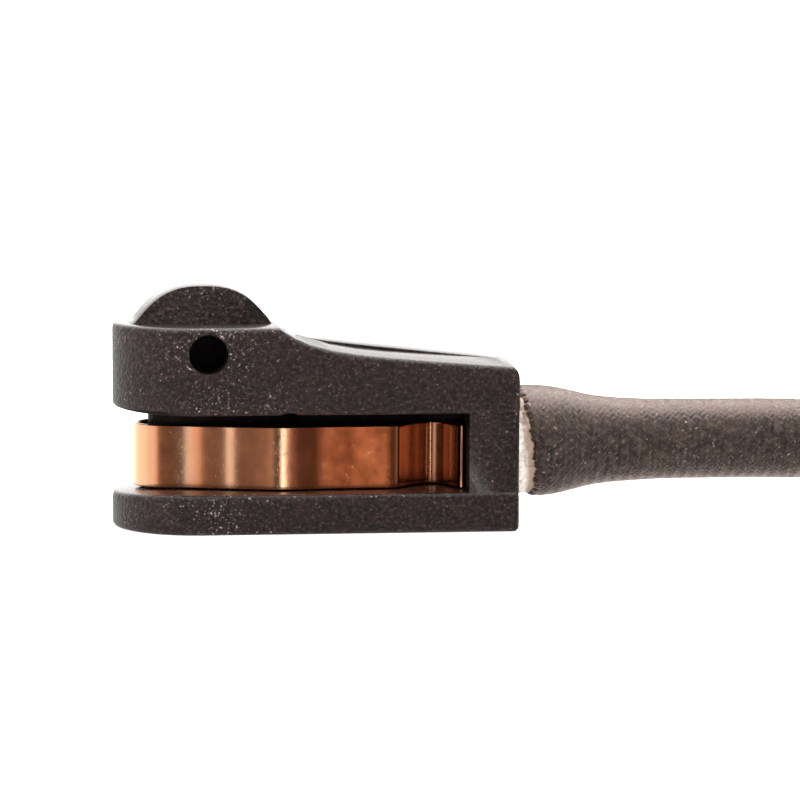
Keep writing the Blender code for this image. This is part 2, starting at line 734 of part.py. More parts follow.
def cut_slanted(target, along, keep_before):
    """Cut a sleeve across by the slanted plane of the braid's cut end."""
    reach = SLEEVE_DIAMETER * 2
    side = -1 if keep_before else 1
    knife = box((-reach if side > 0 else 0.0, -reach, -reach), (0.0 if side > 0 else reach, reach, reach))
    tilt = Matrix.Rotation(math.radians(SLEEVE_TILT_DOWN), 4, "Y")
    turn = Matrix.Rotation(math.radians(SLEEVE_TILT_SIDE), 4, "Z")
    bmesh.ops.transform(knife, matrix=turn @ tilt, verts=knife.verts)
    bmesh.ops.translate(knife, verts=knife.verts, vec=CABLE_AXIS + Vector((along, 0, 0)))
    return cut(target, add_object("knife", knife, "braid"))


def make_sleeve():
    """The braid's flared end, and the glass-fibre layer that shows at its cut edge."""
    stations = [0.0, SLEEVE_STRAIGHT]
    stations += [SLEEVE_STRAIGHT + (SLEEVE_REACH - SLEEVE_STRAIGHT) * step / 7 for step in range(1, 8)]
    outer = [(along, sleeve_radius(along)) for along in stations]
    inner = [(along, sleeve_radius(along) - SLEEVE_WALL) for along in reversed(stations)]
    flare = add_object("sleeve_flare", cable_end(turned(outer + inner, WIDE_SIDES, True)), "braid")
    cut_slanted(flare, SLEEVE_START, False)

    inside = SPIGOT_ROOT_DIAMETER / 2 + FIT
    under = inside + FIBRE_WALL
    fibre = add_object("inner_sleeve", cable_end(turned([
        (FIT, inside), (FIT, under), (FIBRE_LENGTH, under), (FIBRE_LENGTH, inside),
    ], WIDE_SIDES, True)), "glass_fibre")
    rim = SLEEVE_DIAMETER / 2 - FIBRE_COLLAR_INSET
    lap = under - FIBRE_WALL / 2
    collar = add_object("collar", cable_end(turned([
        (FIT, lap), (FIT, rim), (FIBRE_LENGTH, rim), (FIBRE_LENGTH, lap),
    ], WIDE_SIDES, True)), "glass_fibre")
    cut_slanted(collar, SLEEVE_START - FIT, True)
    join(fibre, collar)
    return flare, fibre


def make_wires():
    """The inner jacket with its two cores, the crimps, and the wear loop between them."""
    jacket = add_object("cable_sheath", cable_end(turned([
        (-JACKET_IN_HEAD, 0.0),
        (-JACKET_IN_HEAD, JACKET_DIAMETER / 2),
        (SLEEVE_REACH, JACKET_DIAMETER / 2),
        (SLEEVE_REACH, 0.0),
    ], MIDDLE_SIDES, False)), "jacket_rubber")
    for side, letter in ((-1, "a"), (1, "b")):
        spread = side * CORE_SPACING / 2
        hole = [Vector((END_X - JACKET_IN_HEAD - FIT * 2, spread, CABLE_HEIGHT)),
                Vector((END_X + SLEEVE_REACH + FIT * 2, spread, CABLE_HEIGHT))]
        space = swept(hole, CORE_DIAMETER / 2 + FIT / 2, NARROW_SIDES)
        cut(jacket, add_object("core_hole", space, "jacket_rubber"))
        route = smooth_curve(core_route(side), WIRE_STEP)
        core = swept(route, CORE_DIAMETER / 2, WIRE_SIDES)
        add_object("lead_core_" + letter, core, "core_insulation", 50.0)
        make_crimp("crimp_" + letter, side)
    loop = swept(smooth_curve(loop_route(), WIRE_STEP), LOOP_DIAMETER / 2, WIRE_SIDES)
    add_object("wear_loop", loop, "core_insulation", 50.0)


def make_crimp(name, side):
    """A crimp barrel with a socket at each end, for the loop's wire and for the core."""
    start = crimp_place(side)
    socket = CRIMP_OVERLAP + CORE_LAP
    loop_hole = LOOP_DIAMETER / 2 + FIT / 2
    core_hole = CORE_DIAMETER / 2 + FIT / 2
    barrel = turned([
        (socket, 0.0),
        (socket, loop_hole),
        (0.0, loop_hole),
        (0.0, CRIMP_DIAMETER / 2),
        (CRIMP_LENGTH, CRIMP_DIAMETER / 2),
        (CRIMP_LENGTH, core_hole),
        (CRIMP_LENGTH - socket, core_hole),
        (CRIMP_LENGTH - socket, 0.0),
    ], NARROW_SIDES, False)
    bmesh.ops.translate(barrel, verts=barrel.verts, vec=start)
    add_object(name, barrel, "tinned_metal")


def make_lead():
    """The lead's plain solids: to the coil, the coil's outer shape, and up to the plug."""
    step = 2.2 * CABLE_DIAMETER
    lead = smooth_curve([Vector(point) * MM for point in LEAD_ROUTE], step)
    cord_tube("cable_lead", lead, CABLE_DIAMETER)
    tail = smooth_curve([COIL_CENTRE + Vector(point) * MM for point in TAIL_ROUTE], step)
    cord_tube("cable_tail", tail, CABLE_DIAMETER)

    inner = COIL_RADIUS - CABLE_DIAMETER
    outer = COIL_RADIUS + CABLE_DIAMETER
    section = []
    corners = ((outer, COIL_TOP, 0), (inner, COIL_TOP, 90), (inner, COIL_LIFT, 180), (outer, COIL_LIFT, 270))
    for radius, height, start in corners:
        inward_r = COIL_EDGE if radius == inner else -COIL_EDGE
        inward_z = COIL_EDGE if height == COIL_LIFT else -COIL_EDGE
        section += arc((radius + inward_r, height + inward_z), COIL_EDGE, start, start + 90, 2)
    ring = turned([(height, radius) for radius, height in section], COIL_SIDES, True)
    bmesh.ops.transform(ring, matrix=Matrix.Rotation(math.radians(-90), 4, "Y"), verts=ring.verts)
    bmesh.ops.translate(ring, verts=ring.verts, vec=COIL_CENTRE)
    add_object("cable_coil", ring, "braid")


def make_tie():
    """A wire tie round the coil's bundle, with its two twisted ends as one stub outside."""
    gap = TIE_GAP
    inner = (COIL_RADIUS - CABLE_DIAMETER - gap, COIL_LIFT - gap)
    outer = (COIL_RADIUS + CABLE_DIAMETER + gap, COIL_TOP + gap)

    def band(grow, edge):
        low = (inner[0] - grow, inner[1] - grow)
        high = (outer[0] + grow, outer[1] + grow)
        points = arc((high[0] - edge, high[1] - edge), edge, 0, 90, 3)
        points += arc((low[0] + edge, high[1] - edge), edge, 90, 180, 3)
        points += arc((low[0] + edge, low[1] + edge), edge, 180, 270, 3)
        points += arc((high[0] - edge, low[1] + edge), edge, 270, 360, 3)
        return points

    half = TIE_WIDTH / 2
    tie = add_object("bundle_tie", prism(band(TIE_THICKNESS, COIL_EDGE), "Y", -half, half), "tie_plastic")
    hole = add_object("hole", prism(band(0.0, COIL_EDGE), "Y", -TIE_WIDTH, TIE_WIDTH), "tie_plastic")
    cut(tie, hole)
    edge_x = outer[0] + TIE_THICKNESS / 2
    middle = COIL_LIFT + CABLE_DIAMETER
    stub = box((edge_x, -half / 2, middle - half / 2), (edge_x + TIE_TAIL, half / 2, middle + half / 2))
    join(tie, add_object("stub", stub, "tie_plastic"))
    turn = Matrix.Translation(COIL_CENTRE) @ Matrix.Rotation(math.radians(TIE_ANGLE), 4, "Z")
    tie.data.transform(turn)
    return tie


def plug_place(along, across, height):
    """A point of the plug, from the middle of its rear face, with along towards its open front."""
    rear = COIL_CENTRE + Vector((-PLUG_START_FROM_COIL, PLUG_AXIS_FROM_COIL, 0.0))
    base = COIL_TOP + TOUCH
    return Vector((rear.x - along, rear.y + across, base + PLUG_HEIGHT / 2 + height))


def plug_box(along, width, height, lift=0.0):
    """A rounded block of the plug between two distances from its rear face."""
    low = plug_place(along[1], -width / 2, lift - height / 2)
    high = plug_place(along[0], width / 2, lift + height / 2)
    return box(low, high)


def round_long_edges(bm, radius, segments):
    long_edges = [edge for edge in bm.edges if abs(edge.verts[0].co.x - edge.verts[1].co.x) > 0.01 * MM]
    bmesh.ops.bevel(bm, geom=long_edges, offset=radius, segments=segments, profile=0.5, affect="EDGES")
    return bm


def make_plug():
    """The far end: boot, housing with its socket and seal groove, seal, latch and two contacts."""
    shell = round_long_edges(plug_box((0.0, PLUG_LENGTH), PLUG_WIDTH, PLUG_HEIGHT), PLUG_EDGE, 2)
    housing = add_object("plug_housing", shell, "plug_plastic")
    inside = (PLUG_WIDTH - 2 * PLUG_WALL, PLUG_HEIGHT - 2 * PLUG_WALL)
    socket = plug_box((PLUG_LENGTH - PLUG_SOCKET_DEPTH, PLUG_LENGTH + PLUG_WALL), *inside)
    cut(housing, add_object("socket", round_long_edges(socket, PLUG_EDGE / 2, 1), "plug_plastic"))

    groove = (SEAL_FROM_REAR - FIT, SEAL_FROM_REAR + SEAL_LENGTH + FIT)
    ring = plug_box(groove, PLUG_WIDTH + PLUG_WALL, PLUG_HEIGHT + PLUG_WALL)
    groove_tool = add_object("groove", ring, "plug_plastic")
    floor = (PLUG_WIDTH - 2 * (SEAL_THICKNESS - SEAL_PROUD), PLUG_HEIGHT - 2 * (SEAL_THICKNESS - SEAL_PROUD))
    core = round_long_edges(plug_box((0.0, PLUG_LENGTH), *floor), PLUG_EDGE, 2)
    cut(groove_tool, add_object("core", core, "plug_plastic"))
    cut(housing, groove_tool)

    outer = (floor[0] + 2 * SEAL_THICKNESS, floor[1] + 2 * SEAL_THICKNESS - 2 * SEAL_PROUD)
    span = (SEAL_FROM_REAR, SEAL_FROM_REAR + SEAL_LENGTH)
    seal = add_object("plug_seal", round_long_edges(plug_box(span, *outer), PLUG_EDGE, 2), "seal_rubber")
    bore = plug_box((0.0, PLUG_LENGTH), floor[0] + 2 * FIT, floor[1] + 2 * FIT)
    cut(seal, add_object("seal_bore", round_long_edges(bore, PLUG_EDGE, 2), "seal_rubber"))

    for side, letter in ((-1, "a"), (1, "b")):
        across = side * CONTACT_SPACING / 2
        back = PLUG_LENGTH - PLUG_SOCKET_DEPTH - CONTACT_IN_HOUSING
        hole = [plug_place(back, across, 0.0), plug_place(PLUG_LENGTH, across, 0.0)]
        drill = swept(hole, CONTACT_DIAMETER / 2 + FIT, NARROW_SIDES)
        cut(housing, add_object("pin_hole", drill, "plug_plastic"))
        pin = [plug_place(back + FIT, across, 0.0), plug_place(back + FIT + CONTACT_LENGTH, across, 0.0)]
        contact = swept(pin, CONTACT_DIAMETER / 2, NARROW_SIDES)
        add_object("contact_" + letter, contact, "tinned_metal")

    make_lock(housing)
    make_boot(housing)


def make_lock(housing):
    """The locking slide, let into a slot in the housing's upper face."""
    start = PLUG_LENGTH - LOCK_FROM_FRONT - LOCK_LENGTH
    sink = PLUG_WALL / 2
    lift = PLUG_HEIGHT / 2 - sink + LOCK_HEIGHT / 2
    slot = plug_box((start - FIT, start + LOCK_LENGTH + FIT), LOCK_WIDTH + 2 * FIT, LOCK_HEIGHT, lift)
    cut(housing, add_object("lock_slot", slot, "plug_plastic"))
    slide = plug_box((start, start + LOCK_LENGTH), LOCK_WIDTH, LOCK_HEIGHT, lift + FIT)
    ends = [edge for edge in slide.edges if min(vert.co.z for vert in edge.verts) > plug_place(0, 0, lift).z]
    bmesh.ops.bevel(slide, geom=ends, offset=LOCK_HEIGHT / 4, segments=1, affect="EDGES")
    add_object("plug_lock", slide, "lock_plastic")


def make_boot(housing):
    """The rubber boot that tapers from the housing onto the cable, seated in the housing's rear."""
    seat = swept([plug_place(-PLUG_WALL, 0, 0), plug_place(BOOT_LAP + FIT, 0, 0)],
                 BOOT_TIP_DIAMETER / 2 + FIT, MIDDLE_SIDES)
    cut(housing, add_object("boot_seat", seat, "plug_plastic"))
    rear = TOUCH
    profile = [
        (-BOOT_LAP, 0.0),
        (-BOOT_LAP, BOOT_TIP_DIAMETER / 2),
        (rear, BOOT_TIP_DIAMETER / 2),
        (rear, BOOT_ROOT_DIAMETER / 2),
        (rear + 0.25 * BOOT_LENGTH, BOOT_ROOT_DIAMETER / 2),
        (rear + BOOT_LENGTH, BOOT_TIP_DIAMETER / 2),
        (rear + BOOT_LENGTH, 0.0),
    ]
    boot = turned(profile, MIDDLE_SIDES, False)
    bmesh.ops.translate(boot, verts=boot.verts, vec=plug_place(0, 0, 0))
    add_object("plug_boot", boot, "jacket_rubber")


def main():
    for item in list(bpy.data.objects):
        bpy.data.objects.remove(item)
    make_head()
    make_spring()
    make_sleeve()
    make_wires()
    make_lead()
    make_tie()
    make_plug()


main()
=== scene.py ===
"""Looks of the brake pad wear sensor: its finish, its braided lead, the camera and a pale studio."""
import math

import bmesh
import bpy
import numpy as np
from mathutils import Matrix, Vector


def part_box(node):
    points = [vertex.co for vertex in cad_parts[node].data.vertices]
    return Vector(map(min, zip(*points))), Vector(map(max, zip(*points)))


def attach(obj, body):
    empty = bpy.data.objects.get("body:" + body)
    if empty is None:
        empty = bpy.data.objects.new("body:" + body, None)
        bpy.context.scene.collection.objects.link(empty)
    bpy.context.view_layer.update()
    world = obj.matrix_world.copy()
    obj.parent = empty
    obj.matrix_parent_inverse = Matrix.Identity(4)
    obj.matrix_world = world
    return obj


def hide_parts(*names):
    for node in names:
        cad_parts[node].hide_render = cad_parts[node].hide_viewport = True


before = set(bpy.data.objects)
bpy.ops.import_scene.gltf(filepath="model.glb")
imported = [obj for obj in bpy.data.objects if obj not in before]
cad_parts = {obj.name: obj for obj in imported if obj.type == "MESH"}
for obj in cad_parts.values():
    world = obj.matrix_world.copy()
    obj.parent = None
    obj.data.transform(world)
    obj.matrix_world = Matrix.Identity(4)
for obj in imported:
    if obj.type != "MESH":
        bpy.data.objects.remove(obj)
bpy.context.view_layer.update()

MM = 0.001
FULL_TURN = 2 * math.pi

# Camera, as the photograph was taken: angles in degrees, lens and sensor in millimetres
CAMERA_AZIMUTH = -7.5
CAMERA_ELEVATION = 6.6
CAMERA_ROLL = 0.35
CAMERA_DISTANCE = 200.0 * MM
CAMERA_TARGET = Vector((1.105, -5.0, 7.90)) * MM
CAMERA_LENS = 154.11
CAMERA_SENSOR = 36.0
CAMERA_NEAR = 5 * MM
CAMERA_FAR = 20.0

# Places read from the frame
HEAD_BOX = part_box("sensor_body")
CLIP_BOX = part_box("retaining_spring")
SLEEVE_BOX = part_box("sleeve_flare")
FIBRE_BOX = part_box("inner_sleeve")
COIL_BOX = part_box("cable_coil")
TIP_X = HEAD_BOX[0].x
HALF_DEPTH = -HEAD_BOX[0].y

# Lead: its route, in millimetres, repeats the one that its solids were made on
CABLE_DIAMETER = 4.8 * MM
SLEEVE_REACH = 7.15 * MM
CABLE_HEIGHT = (SLEEVE_BOX[0].z + SLEEVE_BOX[1].z) / 2
END_X = SLEEVE_BOX[1].x - SLEEVE_REACH
EXIT = Vector((END_X, 0.0, CABLE_HEIGHT))
LEAD_ROUTE = [
    (15.73, 0.0, 4.81),
    (20.5, 0.0, 4.82),
    (26.5, 0.0, 4.74),
    (32.0, 0.0, 4.30),
    (37.5, 0.0, 3.45),
    (43.0, 0.0, 2.75),
    (48.0, 0.0, 2.62),
    (52.3, 0.0, 2.80),
]
ROUTE_STEP = 0.8 * MM
DIRECTION_STEP = 0.4 * MM

# Tail of the lead, in millimetres from the coil's middle: it starts where the coil ends
TAIL_ROUTE = [
    (22.0, 0.0, 12.90),
    (21.5, 5.0, 12.95),
    (19.5, 9.8, 13.10),
    (16.2, 13.8, 13.50),
    (12.0, 16.9, 14.05),
    (7.5, 18.7, 14.65),
    (3.0, 19.2, 14.98),
    (0.4, 19.2, 15.00),
]

# Coil: between two angles in degrees the lead moves on to a radius and a height
COIL_CENTRE = Vector(((COIL_BOX[0].x + COIL_BOX[1].x) / 2, (COIL_BOX[0].y + COIL_BOX[1].y) / 2, 0.0))
COIL_OUTER = (COIL_BOX[1].y - COIL_BOX[0].y) / 2 - CABLE_DIAMETER / 2
COIL_INNER = COIL_OUTER - CABLE_DIAMETER
COIL_LOW = COIL_BOX[0].z + CABLE_DIAMETER / 2
COIL_HIGH = COIL_LOW + CABLE_DIAMETER
COIL_START = 270.0
COIL_END = 1440.0
COIL_STEP = 18.0
COIL_MOVES = [
    (560.0, 625.0, COIL_INNER, COIL_LOW),
    (855.0, 920.0, COIL_INNER, COIL_HIGH),
    (1150.0, 1215.0, COIL_OUTER, COIL_HIGH),
    (1375.0, COIL_END, TAIL_ROUTE[0][0] * MM, TAIL_ROUTE[0][2] * MM),
]

# Braid's flare: its radius by how far it lies from the head's end face, in millimetres
SLEEVE_PROFILE = [
    (0.0, 3.34),
    (1.9, 3.32),
    (2.95, 3.20),
    (3.85, 3.00),
    (5.05, 2.73),
    (6.3, 2.57),
    (7.55, 2.49),
    (9.15, 2.42),
    (11.0, 2.40),
    (14.0, 2.40),
]
PROFILE_STEP = 0.1

# Braid's slanted cut: its place and slopes, its ragged waves as height, number and phase, and its curl
CUT_START = 0.88 * MM
CUT_SLOPE_DOWN = math.tan(math.radians(7.0))
CUT_SLOPE_SIDE = math.tan(math.radians(3.0))
CUT_WAVES = [
    (0.06 * MM, 13, 1.3),
    (0.05 * MM, 37, 0.0),
    (0.04 * MM, 71, 2.0),
]
CURL_LENGTH = 0.3 * MM
CURL_DEPTH = 0.17 * MM

# Braid: yarns in each direction, how far one runs along the lead in a turn, its relief, and the share of
# it that lies at the lead's radius. A yarn lies on top at two crossings in four, and where it lies under,
# part of its height still shows
YARNS = 40
YARN_PITCH = 14.0 * MM
YARN_RELIEF = 0.05 * MM
YARN_MEAN = 0.6
YARN_UNDER = 0.45
CROSSINGS = 4.0
LAST_OVER = 1.5

# Mesh of the lead, fine near the head and plain beyond
FINE_LENGTH = 17.6 * MM
FINE_STEP = 0.058 * MM
FINE_SIDES = 240
PLAIN_STEP = 1.1 * MM
PLAIN_SIDES = 40

# Loose fibres: where along one each of its sections lies, and how thick it is there, as shares, and a
# direction that none of them has
HAIR_SECTIONS = ((0.0, 1.0), (0.5, 0.9), (1.0, 0.35))
HAIR_ASIDE = (0.3, 0.5, 0.8)

# Broken fibres of the braid: their lengths in millimetres, where they stand, how far in radians they lie
# off the lead's direction, and, as shares of their length, how far they lift and how much they bend
FUZZ_SEED = 11
FUZZ_COUNT = 3200
FUZZ_RADIUS = 0.006 * MM
FUZZ_LENGTHS = (0.12, 0.5)
FUZZ_START = 0.9 * MM
FUZZ_END = 34 * MM
FUZZ_ROOT = 0.01 * MM
FUZZ_FROM_CUT = 0.1 * MM
FUZZ_FROM_FLOOR = 0.3 * MM
FUZZ_LEAN = 1.2
FUZZ_LIFT = 0.16
FUZZ_LIFTS = (0.03, 0.8)
FUZZ_BEND = 0.25

# Glass-fibre layer: its mesh, how far it is sunk in its solid's surface, its lumps, which are random waves
# round it and along it, and the lip at its start
FIBRE_SEED = 5
FIBRE_RADIUS = (FIBRE_BOX[1].z - FIBRE_BOX[0].z) / 2
FIBRE_ROWS = 26
FIBRE_SIDES = 200
FIBRE_INSIDE = 0.93
FIBRE_SUNK = 0.09 * MM
FIBRE_LUMPS = 14
FIBRE_LUMP = 0.10 * MM
FIBRE_LUMP_TURNS = (3, 60)
FIBRE_LUMP_WAVES = (0, 5000)
FIBRE_LUMP_PHASES = (0, 6.28)
FIBRE_LIP = 0.04 * MM
FIBRE_LIP_LENGTH = 0.7 * MM

# Fibres that fray from it: their lengths in millimetres, where their roots stand along FRAY_REACH, and how
# much they slant, lean to the head, stand out and droop
FRAY_COUNT = 520
FRAY_RADIUS = 0.022 * MM
FRAY_LENGTHS = (0.2, 0.6)
FRAY_REACH = 0.95 * MM
FRAY_ROOTS = (0.05, 0.75)
FRAY_ROOT = 0.03 * MM
FRAY_FROM_HEAD = 0.02 * MM
FRAY_SLANT = 0.9
FRAY_TO_HEAD = 0.35
FRAY_OUT = 0.12
FRAY_DROOP = 0.3

# Clip: its strip's thickness, and each bend's place from the tip, half width and radius
CLIP_THICKNESS = 0.3 * MM
CLIP_EDGE = 0.07 * MM
CLIP_NOSE_FROM_TIP = 3.11 * MM
CLIP_NOSE_RADIUS = 1.75 * MM
CLIP_NOSE_SWEEP = 72.0
CLIP_NOSE_STEPS = 24
CLIP_BENDS = [
    (4.15 * MM, 1.95 * MM, 0.6 * MM),
    (5.15 * MM, 2.30 * MM, 0.6 * MM),
    (6.62 * MM, 2.61 * MM, 0.3 * MM),
    (6.98 * MM, 2.77 * MM, 0.3 * MM),
    (8.30 * MM, 3.06 * MM, 0.9 * MM),
    (9.05 * MM, 3.24 * MM, 0.9 * MM),
    (9.48 * MM, 3.37 * MM, 0.25 * MM),
    (10.02 * MM, 3.385 * MM, 0.3 * MM),
    (10.60 * MM, 3.36 * MM, 0.4 * MM),
    (11.85 * MM, 3.15 * MM, 0.5 * MM),
    (14.00 * MM, 3.06 * MM, 1.5 * MM),
    (16.58 * MM, 3.00 * MM, 0.6 * MM),
    (17.75 * MM, 1.62 * MM, 0.7 * MM),
    (18.45 * MM, 1.10 * MM, 0.6 * MM),
    (19.05 * MM, 0.98 * MM, 0.6 * MM),
    (19.70 * MM, 1.52 * MM, 0.6 * MM),
]
CLIP_END = (20.35 * MM, 3.30 * MM)
CLIP_STEP = 0.06 * MM
CLIP_SOFTNESS = 0.21 * MM

# Clip's mesh: steps up its outer and inner face, degrees between the points of its rounded edges, steps in
# an arc, and the share of the run between two bends that one arc may take
CLIP_OUTER_STEPS = 20
CLIP_INNER_STEPS = 4
CLIP_EDGE_STEP = 30
ARC_STEPS = 10
ARC_SHARE = 0.48

# Edges: how wide the head's are eased, and how many degrees one turns where it is eased or kept sharp
HEAD_EDGE = 0.13 * MM
EASE_OVER = 50.0
SHARP_OVER = 36.0
EASE_SOLIDS_OVER = 32.0
EDGE_SEGMENTS = 3
MERGE_WITHIN = 0.002 * MM

# Head: its blind hole and slot, which get painted shade from just under its faces, and the place where its
# painted glints crowd most
HOLE_FROM_TIP = 5.36 * MM
HOLE_HEIGHT = 10.62 * MM
HOLE_RADIUS = 1.16 * MM
SLOT_LOW = 2.42 * MM
SLOT_HIGH = 7.25 * MM
DARK_FROM = 0.12 * MM
DARK_BELOW = 0.55 * MM
GLINTS_FROM_TIP = 6.5 * MM

# Mould mark beside the blind hole
MARK_FROM_TIP = 9.49 * MM
MARK_HEIGHT = 9.78 * MM
MARK_RADIUS = 1.17 * MM
MARK_WIDTH = 0.11 * MM

# Head's colours, from its pits to its bright grains and painted glints, its painted shade in the hole and
# slot, and its coat on top
PLASTIC_PIT = (0.0045, 0.0030, 0.0028)
PLASTIC_DARK = (0.0150, 0.0070, 0.0058)
PLASTIC_LIGHT = (0.0232, 0.0110, 0.0088)
PLASTIC_GRAIN = (0.118, 0.078, 0.068)
PLASTIC_GLINT = (0.40, 0.325, 0.295)
PLASTIC_PAINTED_SHADE = (0.0060, 0.0042, 0.0038)
PLASTIC_COAT = (1.0, 0.93, 0.92)

# Clip's colours: pale from its nose to the middle bend, full past it, and a dark brown painted shade from the
# waist on. The first two vary over its stains. Its nose and bend colours are paler painted highlights, and
# its scuff colour is partly scratches, partly painted highlight
STAINS = (0.3, 0.5, 0.72)
COPPER_PALE = ((0.84, 0.285, 0.130), (0.90, 0.335, 0.165), (0.87, 0.36, 0.14))
COPPER_FULL = ((0.78, 0.200, 0.075), (0.82, 0.23, 0.092), (0.80, 0.26, 0.092))
COPPER_NOSE_HIGHLIGHT = (0.95, 0.58, 0.34)
COPPER_BEND_HIGHLIGHT = (0.95, 0.53, 0.32)
COPPER_BLOTCH = (0.94, 0.56, 0.36)
COPPER_WAIST_SHADE = (0.50, 0.215, 0.115)
COPPER_SCUFF_AND_GLINT = (0.97, 0.72, 0.50)

# Clip's bends where its highlights are painted paler, and the stretches where its colour changes, all from
# the tip
HIGHLIGHT_BENDS = (4.2 * MM, 6.7 * MM, 9.75 * MM)
NOSE_STRETCH = (1.9 * MM, 2.6 * MM)
FULL_STRETCH = (9.6 * MM, 11.6 * MM)
WAIST_SHADE_STRETCH = (16.3 * MM, 17.0 * MM)

# Braid's colours, with painted shade between its yarns and painted light on its top
BRAID_DARK = (0.0052, 0.0024, 0.0016)
BRAID_LIGHT = (0.025, 0.0130, 0.0086)
BRAID_STREAK = (0.085, 0.056, 0.045)
BRAID_CLOT = (0.074, 0.047, 0.034)
BRAID_GAP_SHADE = (0.008, 0.005, 0.0045)
BRAID_TOP_LIGHT = (0.140, 0.108, 0.093)
BRAID_BROKEN = (0.30, 0.235, 0.19)
BRAID_SHEEN = (1.0, 0.83, 0.76)
FUZZ_DARK = (0.030, 0.019, 0.015)
FUZZ_LIGHT = (0.13, 0.095, 0.075)

# Glass fibres' colours, and the stretch from the head's end face where they turn browner towards the braid's
# cut
FIBRE_SHADED = (0.70, 0.60, 0.50)
FIBRE_WHITE = (0.94, 0.88, 0.82)
FIBRE_BRIGHT = (0.97, 0.95, 0.92)
FIBRE_BROWN = (0.22, 0.11, 0.05)
BROWNING_STRETCH = (0.52 * MM, 0.92 * MM)
BROWNING_WANDER = 0.3 * MM

# Studio: brightness of what surrounds the part, by degrees to the left of straight ahead of it
SURROUND = [
    (-180, 2.3),
    (-140, 1.6),
    (-100, 0.6),
    (-62, 0.35),
    (-46, 0.16),
    (-38, 0.09),
    (-22, 0.08),
    (-16, 0.16),
    (-8.5, 0.12),
    (-5.5, 0.22),
    (-4.5, 4.0),
    (-1.0, 4.0),
    (0.5, 0.3),
    (4, 0.06),
    (14, 0.08),
    (18, 0.14),
    (21, 0.18),
    (26, 0.36),
    (32, 0.90),
    (48, 1.05),
    (60, 0.95),
    (110, 1.2),
    (140, 1.6),
    (180, 2.3),
]

# Studio overhead and underneath: brightness, and the heights of a direction where each begins and is full
OVERHEAD = 3.2
OVERHEAD_FROM = 0.45
OVERHEAD_TO = 0.92
UNDERNEATH = 1.0
UNDERNEATH_FROM = -0.35
UNDERNEATH_TO = -0.62

# What lights matt surfaces instead: a share of the surround, and a smaller, brighter overhead
MATT_SURROUND = 0.36
MATT_OVERHEAD = 15.0
MATT_OVERHEAD_FROM = 0.74

# Floor
FLOOR_REACH = 6.0
FLOOR_DROP = 0.02 * MM
FLOOR_GREY = (0.5, 0.5, 0.5)
FLOOR_GLOW = 0.92


def make_camera():
    """The camera of the photograph, aimed at a point in the head's near face."""
    azimuth, elevation, roll = (math.radians(a) for a in (CAMERA_AZIMUTH, CAMERA_ELEVATION, CAMERA_ROLL))
    level = math.cos(elevation)
    back = Vector((math.sin(azimuth) * level, -math.cos(azimuth) * level, math.sin(elevation)))
    right = (-back).cross(Vector((0, 0, 1))).normalized()
    up = right.cross(-back)
    across = right * math.cos(roll) + up * math.sin(roll)
    above = up * math.cos(roll) - right * math.sin(roll)
    data = bpy.data.cameras.new("camera")
    data.sensor_width = CAMERA_SENSOR
    data.lens = CAMERA_LENS
    data.clip_start = CAMERA_NEAR
    data.clip_end = CAMERA_FAR
    camera = bpy.data.objects.new("camera", data)
    bpy.context.scene.collection.objects.link(camera)
    turn = Matrix((across, above, back)).transposed().to_4x4()
    camera.matrix_world = Matrix.Translation(CAMERA_TARGET + back * CAMERA_DISTANCE) @ turn
    bpy.context.scene.camera = camera


def node(tree, kind, inputs=None, **settings):
    """Add a shader node. An input is given by name or number, as a value or as another node's output."""
    made = tree.nodes.new("ShaderNode" + kind)
    for key, value in settings.items():
        setattr(made, key, value)
    for key, value in (inputs or {}).items():
        if isinstance(value, bpy.types.NodeSocket):
            tree.links.new(value, made.inputs[key])
        else:
            made.inputs[key].default_value = value
    return made


def math_node(tree, operation, *values):
    """One operation on numbers and outputs."""
    return node(tree, "Math", dict(enumerate(values)), operation=operation).outputs[0]


def ramp(tree, value, stops):
    """A colour ramp, each stop given by its place and a grey or a colour."""
    made = node(tree, "ValToRGB", {0: value})
    band = made.color_ramp
    while len(band.elements) < len(stops):
        band.elements.new(1.0)
    for element, (place, shade) in zip(band.elements, stops):
        element.position = place
        colour = shade if isinstance(shade, tuple) else (shade, shade, shade)
        element.color = (*colour, 1.0)
    return made.outputs[0]


def blend(tree, share, first, second):
    """Mix two colours by a share that varies over the surface."""
    made = node(tree, "Mix", data_type="RGBA")
    for number, value in ((0, share), (6, first), (7, second)):
        if isinstance(value, bpy.types.NodeSocket):
            tree.links.new(value, made.inputs[number])
        else:
            made.inputs[number].default_value = (*value, 1.0) if isinstance(value, tuple) else value
    return made.outputs[2]


def choose(tree, share, first, second):
    """Mix two numbers: the first where the share is 0, the second where it is 1."""
    return node(tree, "Mix", {0: share, 2: first, 3: second}, data_type="FLOAT").outputs[0]


def spread(tree, value, low, high, at_low, at_high, kind="LINEAR"):
    """Map a value from one range to another, kept within it."""
    inputs = {0: value, 1: low, 2: high, 3: at_low, 4: at_high}
    return node(tree, "MapRange", inputs, interpolation_type=kind).outputs[0]


def from_tip(tree, x, stretch, at_start, at_end, kind="LINEAR"):
    """Map places along a stretch, given by its distances from the tip, to a range."""
    return spread(tree, x, TIP_X + stretch[0], TIP_X + stretch[1], at_start, at_end, kind)


def noise(tree, place, scale, detail=2.0, roughness=0.5):
    """Noise of a scale given in cells to the metre."""
    inputs = {"Vector": place, "Scale": scale, "Detail": detail, "Roughness": roughness}
    return node(tree, "TexNoise", inputs).outputs[0]


def total(tree, *parts):
    """Add up outputs, each given with its weight."""
    value = None
    for output, weight in parts:
        term = math_node(tree, "MULTIPLY", output, weight)
        value = term if value is None else math_node(tree, "ADD", value, term)
    return value


